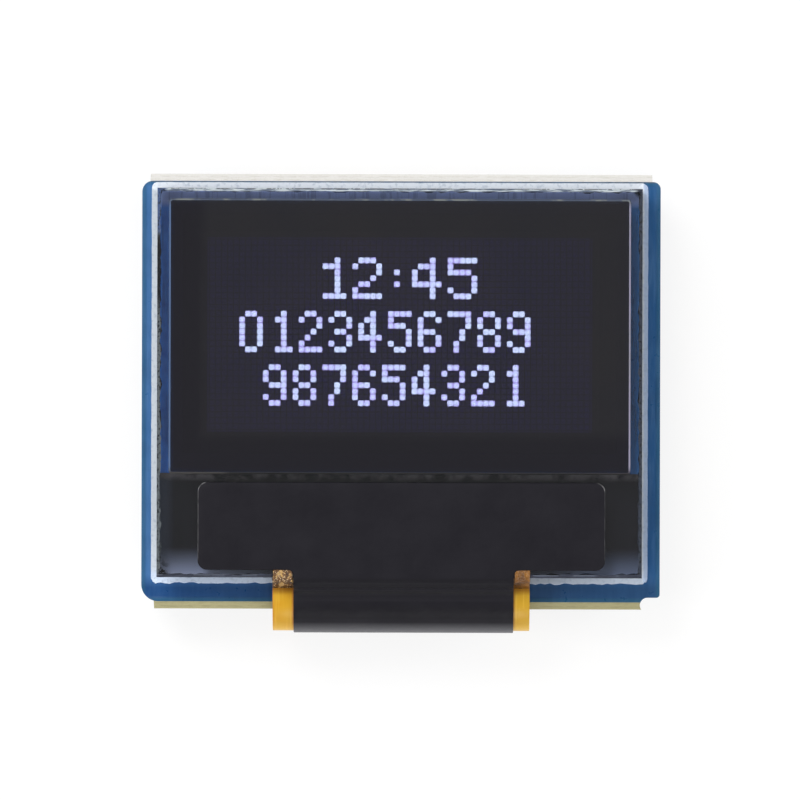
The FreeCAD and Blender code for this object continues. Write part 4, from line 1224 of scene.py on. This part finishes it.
class ShapeBackPrint(bpy.types.Operator):
    """Shape the copper tracks, plated holes and printed outlines of the back"""

    bl_idname = "display_module.back_print"
    bl_label = "Tracks and Outlines"

    # each track runs through its points, in millimetres, from a pad to a pad or a hole
    TRACKS = (
        ((1.27, 3.9), (1.27, 3.3), (0.9, 2.93), (0.9, -0.2), (1.75, -1.05), (1.75, -2.75)),
        (
            (3.81, 3.9), (3.81, 3.1), (3.6, 2.89), (3.6, 0.2),
            (4.05, -0.25), (4.05, -1.4), (3.25, -2.2), (3.25, -2.75),
        ),
        ((1.8, 1.25), (1.8, 0.4), (1.32, -0.08), (1.32, -2.0), (1.25, -2.07), (1.25, -2.75)),
        ((3.0, 1.25), (3.0, -0.4), (3.35, -0.75), (3.35, -1.65), (2.75, -2.25), (2.75, -2.75)),
        ((-3.75, 0.8), (-3.75, 0.0), (-2.8, -0.95), (-2.8, -2.2), (-2.75, -2.25), (-2.75, -2.75)),
        ((-5.65, 0.8), (-5.65, -0.4), (-6.6, -1.35), (-6.6, -2.4), (-5.95, -3.05)),
        ((-1.8, -1.6), (-1.25, -2.15), (-1.25, -2.75)),
        ((-5.05, -1.2), (-5.4, -1.55), (-5.4, -2.35), (-4.5, -2.35)),
        ((-4.05, -1.2), (-3.25, -2.0), (-3.25, -2.75)),
        ((5.95, -3.05), (5.95, -2.4), (5.05, -1.5), (5.05, -1.2)),
        ((5.75, 0.85), (5.75, 0.1), (6.7, -0.85)),
        ((5.75, 2.65), (5.75, 3.2), (6.4, 3.85)),
        ((4.2, 2.3), (4.2, 2.8), (4.75, 3.35)),
        ((-0.25, -2.75), (-0.25, -1.2), (-0.7, -0.75), (-0.7, 0.9), (-1.6, 1.8)),
        ((0.25, -2.75), (0.25, 1.9)),
        ((-1.75, -2.75), (-1.75, -2.45), (-2.3, -1.9), (-2.3, -0.6), (-1.9, -0.2), (-1.9, 0.4)),
    )
    HOLES = (
        (0.25, 2.1), (-1.75, 1.95), (-1.9, 0.6), (-4.3, -2.35), (6.85, -1.0), (6.55, 4.0),
        (4.9, 3.5), (2.5, 3.4), (-2.5, 3.2), (-6.85, 3.6), (-6.9, 0.4), (6.9, 1.8),
        (6.85, 5.7), (-6.85, 5.7), (0.0, 5.0), (2.54, 5.4), (-2.54, 5.4), (5.2, -0.1),
        (-0.9, 3.3),
    )

    def execute(self, context):
        sizes = context.scene.module_sizes
        width, rise = sizes.track_width, sizes.track_rise
        gaps = self.ribbon("track_gaps", self.TRACKS, width * 2.4, rise * 0.2)
        finish_piece(gaps, "solder_mask", finish="clearance")
        tracks = self.ribbon("copper_tracks", self.TRACKS, width, rise)
        finish_piece(tracks, "solder_mask", finish="copper_under_mask")
        self.holes(sizes)
        outlines = self.ribbon("part_outlines", self.outlines(), sizes.outline_width, rise * 0.5)
        finish_piece(outlines, "white_ink")
        return {"FINISHED"}

    def ribbon(self, name, routes, width, rise):
        """Low rounded ridges along routes on the board's back."""
        line = bpy.data.curves.new(name, "CURVE")
        line.dimensions = "3D"
        line.bevel_depth = width / 2
        line.bevel_resolution = 2
        line.use_fill_caps = True
        for route in routes:
            spline = line.splines.new("POLY")
            spline.points.add(len(route) - 1)
            for point, (x, y) in zip(spline.points, route):
                point.co = (x * MM, y * MM, 0.0, 1.0)
        ridge = bpy.data.objects.new(name, line)
        bpy.context.scene.collection.objects.link(ridge)
        pick(ridge)
        bpy.ops.object.convert(target="MESH")
        bpy.context.object.scale.z = rise / (width / 2)
        piece = settle()
        smooth(piece, 50.0)
        return piece

    def holes(self, sizes):
        """Small plated holes: one is shaped, and copies of it take their places."""
        clear_selection()
        rise = sizes.track_rise
        bpy.ops.mesh.primitive_cylinder_add(vertices=20, radius=sizes.via_width / 2, depth=2 * rise)
        first = bpy.context.object
        edit(first)
        choose(first, lambda p: p.normal.z < -0.9, "FACE")
        bpy.ops.mesh.inset(thickness=(sizes.via_width - sizes.via_hole) / 2)
        bpy.ops.mesh.extrude_region_move(TRANSFORM_OT_translate={"value": (0.0, 0.0, 1.6 * rise)})
        close()
        round_edges(first, rise * 0.3)
        copies = []
        for x, y in self.HOLES:
            pick(first)
            bpy.ops.object.duplicate()
            copies.append(bpy.context.object)
            copies[-1].location = (x * MM, y * MM, 0.0)
        bpy.data.objects.remove(first)
        pick(copies[0])
        for copy in copies:
            copy.select_set(True)
        bpy.ops.object.join()
        piece = settle()
        piece.name = piece.data.name = "plated_holes"
        smooth(piece, 40.0)
        centres = [Vector((x * MM, y * MM)) for x, y in self.HOLES]

        def inside(face):
            return min((face.center.xy - c).length for c in centres) < sizes.via_hole * 0.52

        others = (("clearance", inside),)
        finish_piece(piece, "solder_mask", finish="copper_under_mask", others=others)

    def beside(self, node, gap, longer):
        """A line on the left and one on the right of a frame node."""
        low, high = box_mm(node)
        return [((x, low.y - longer), (x, high.y + longer)) for x in (low.x - gap, high.x + gap)]

    def outlines(self):
        """Printed lines beside each part, with a dot at the regulator's first lead."""
        lines = []
        for node in sorted(NODES):
            if not node.endswith("_terminals"):
                continue
            low, high = box_mm(node)
            if high.x - low.x < high.y - low.y:
                lines += self.beside(node, 0.2, -0.1)
            else:
                for y in (low.y - 0.2, high.y + 0.2):
                    lines.append(((low.x + 0.1, y), (high.x - 0.1, y)))
        lines += self.beside("regulator_body", 0.18, 0.1)
        low, _ = box_mm("regulator_body")
        lines.append(((low.x - 0.3, low.y - 0.55), (low.x - 0.22, low.y - 0.55)))
        return lines + self.beside("interface_pads", 0.35, 0.0)


class BuildStudio(bpy.types.Operator):
    """Set up the camera, lamps, sky and floor"""

    bl_idname = "display_module.studio"
    bl_label = "Studio"

    WHITE = (1.0, 1.0, 1.0, 1.0)
    AIM = (-0.028 * MM, -0.247 * MM)  # the picture's middle, from the board's
    # name, place, size, and share of the key's or the fill's power
    LAMPS = (
        ("key lamp", (-0.16, 0.24, 0.30), 0.22, "key_power", 1.0),
        ("right lamp", (0.32, 0.04, 0.20), 0.18, "fill_power", 1.0),
        ("left lamp", (-0.32, -0.06, 0.22), 0.18, "fill_power", 1.0),
        ("near lamp", (0.04, -0.34, 0.20), 0.16, "fill_power", 0.8),
    )

    def execute(self, context):
        settings = context.scene.module_studio
        context.scene.view_settings.view_transform = "Standard"
        self.camera(context, settings)
        for name, place, size, power, share in self.LAMPS:
            clear_selection()
            bpy.ops.object.light_add(type="AREA", location=place)
            lamp = context.object
            lamp.name = name
            lamp.data.energy = getattr(settings, power) * share
            lamp.data.size = size
            lamp.rotation_euler = (-Vector(place)).to_track_quat("-Z", "Y").to_euler()
        self.sky(context.scene, settings)
        self.floor()
        return {"FINISHED"}

    def camera(self, context, settings):
        """A camera straight above the display."""
        clear_selection()
        place = (*self.AIM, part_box("lit_pixels")[1].z + settings.distance)
        bpy.ops.object.camera_add(location=place, rotation=(0.0, 0.0, settings.turn))
        camera = context.object
        camera.data.lens = settings.focal
        camera.data.sensor_width = 36.0
        camera.data.clip_start, camera.data.clip_end = 0.01, 10.0
        context.scene.camera = camera

    def sky(self, scene, settings):
        """A soft sky, brighter near the horizon, and white where the camera sees it."""
        world = bpy.data.worlds.new("soft studio")
        scene.world = world
        world.use_nodes = True
        n = Nodes(world.node_tree)
        direction = n.put("ShaderNodeTexCoord").outputs["Generated"]
        up = n.put("ShaderNodeSeparateXYZ", {0: direction}).outputs["Z"]
        strength = n.span(up, 0.0, 0.9, settings.sky_low, settings.sky_high)
        ray = n.put("ShaderNodeLightPath").outputs["Is Camera Ray"]
        shown = n.put("ShaderNodeMix", {0: ray, 2: strength, 3: 1.0}, data_type="FLOAT")
        back = n.tree.nodes["Background"].inputs
        n.fill(back["Color"], self.WHITE)
        n.fill(back["Strength"], shown.outputs[0])

    def floor(self):
        """A pale floor that the module stands on, with its soft shadow."""
        clear_selection()
        ground = CAD_BOX[0].z - 0.001 * MM  # so that no face lies in the floor's plane
        bpy.ops.mesh.primitive_plane_add(size=1.6, location=(0.0, 0.0, ground))
        floor = settle()
        floor.name = floor.data.name = "studio_floor"
        f = Finish("pale floor", Roughness=0.9, Specular_IOR_Level=0.0)
        f.lay(f.colours.floor)
        rays = f.put("ShaderNodeLightPath").outputs
        mirrored = f.most(rays["Is Glossy Ray"], rays["Is Transmission Ray"])
        glowing = 0.8  # the rest of the floor's light is the lamps' own
        seen = f.times(f.most(rays["Is Camera Ray"], mirrored), glowing)
        glow = f.put("ShaderNodeEmission", {"Color": self.WHITE, "Strength": 1.0}).outputs[0]
        mixed = f.put("ShaderNodeMixShader", {0: seen, 1: f.shader.outputs[0], 2: glow})
        f.fill(f.end.inputs["Surface"], mixed.outputs[0])
        floor.data.materials.append(f.material)


STEPS = (
    PaintModule, ShapeInk, ShapeGlass, ShapePolarizer, ShapeDots, ShapeFlex,
    ShapeTape, ShapeGlue, ShapeBackParts, ShapeBackPrint, BuildStudio,
)
GROUPS = {
    "module_sizes": ModuleSizes,
    "module_colours": ModuleColours,
    "module_studio": StudioSettings,
}


class ModulePanel(bpy.types.Panel):
    """Everything that builds the module, in order"""

    bl_idname = "VIEW3D_PT_display_module"
    bl_label = "Display Module"
    bl_space_type = "VIEW_3D"
    bl_region_type = "UI"
    bl_category = "Display Module"

    def draw(self, context):
        for step in STEPS:
            self.layout.operator(step.bl_idname)
        for group in GROUPS:
            settings = getattr(context.scene, group)
            box = self.layout.box()
            for name in settings.__annotations__:
                box.prop(settings, name)


CLASSES = (*GROUPS.values(), *STEPS, ModulePanel)


def register():
    for item in CLASSES:
        bpy.utils.register_class(item)
    for name, group in GROUPS.items():
        setattr(bpy.types.Scene, name, PointerProperty(type=group))


def unregister():
    for name in GROUPS:
        delattr(bpy.types.Scene, name)
    for item in reversed(CLASSES):
        bpy.utils.unregister_class(item)


def main():
    register()
    for step in STEPS:
        group, name = step.bl_idname.split(".")
        getattr(getattr(bpy.ops, group), name)()


if __name__ == "__main__":
    main()
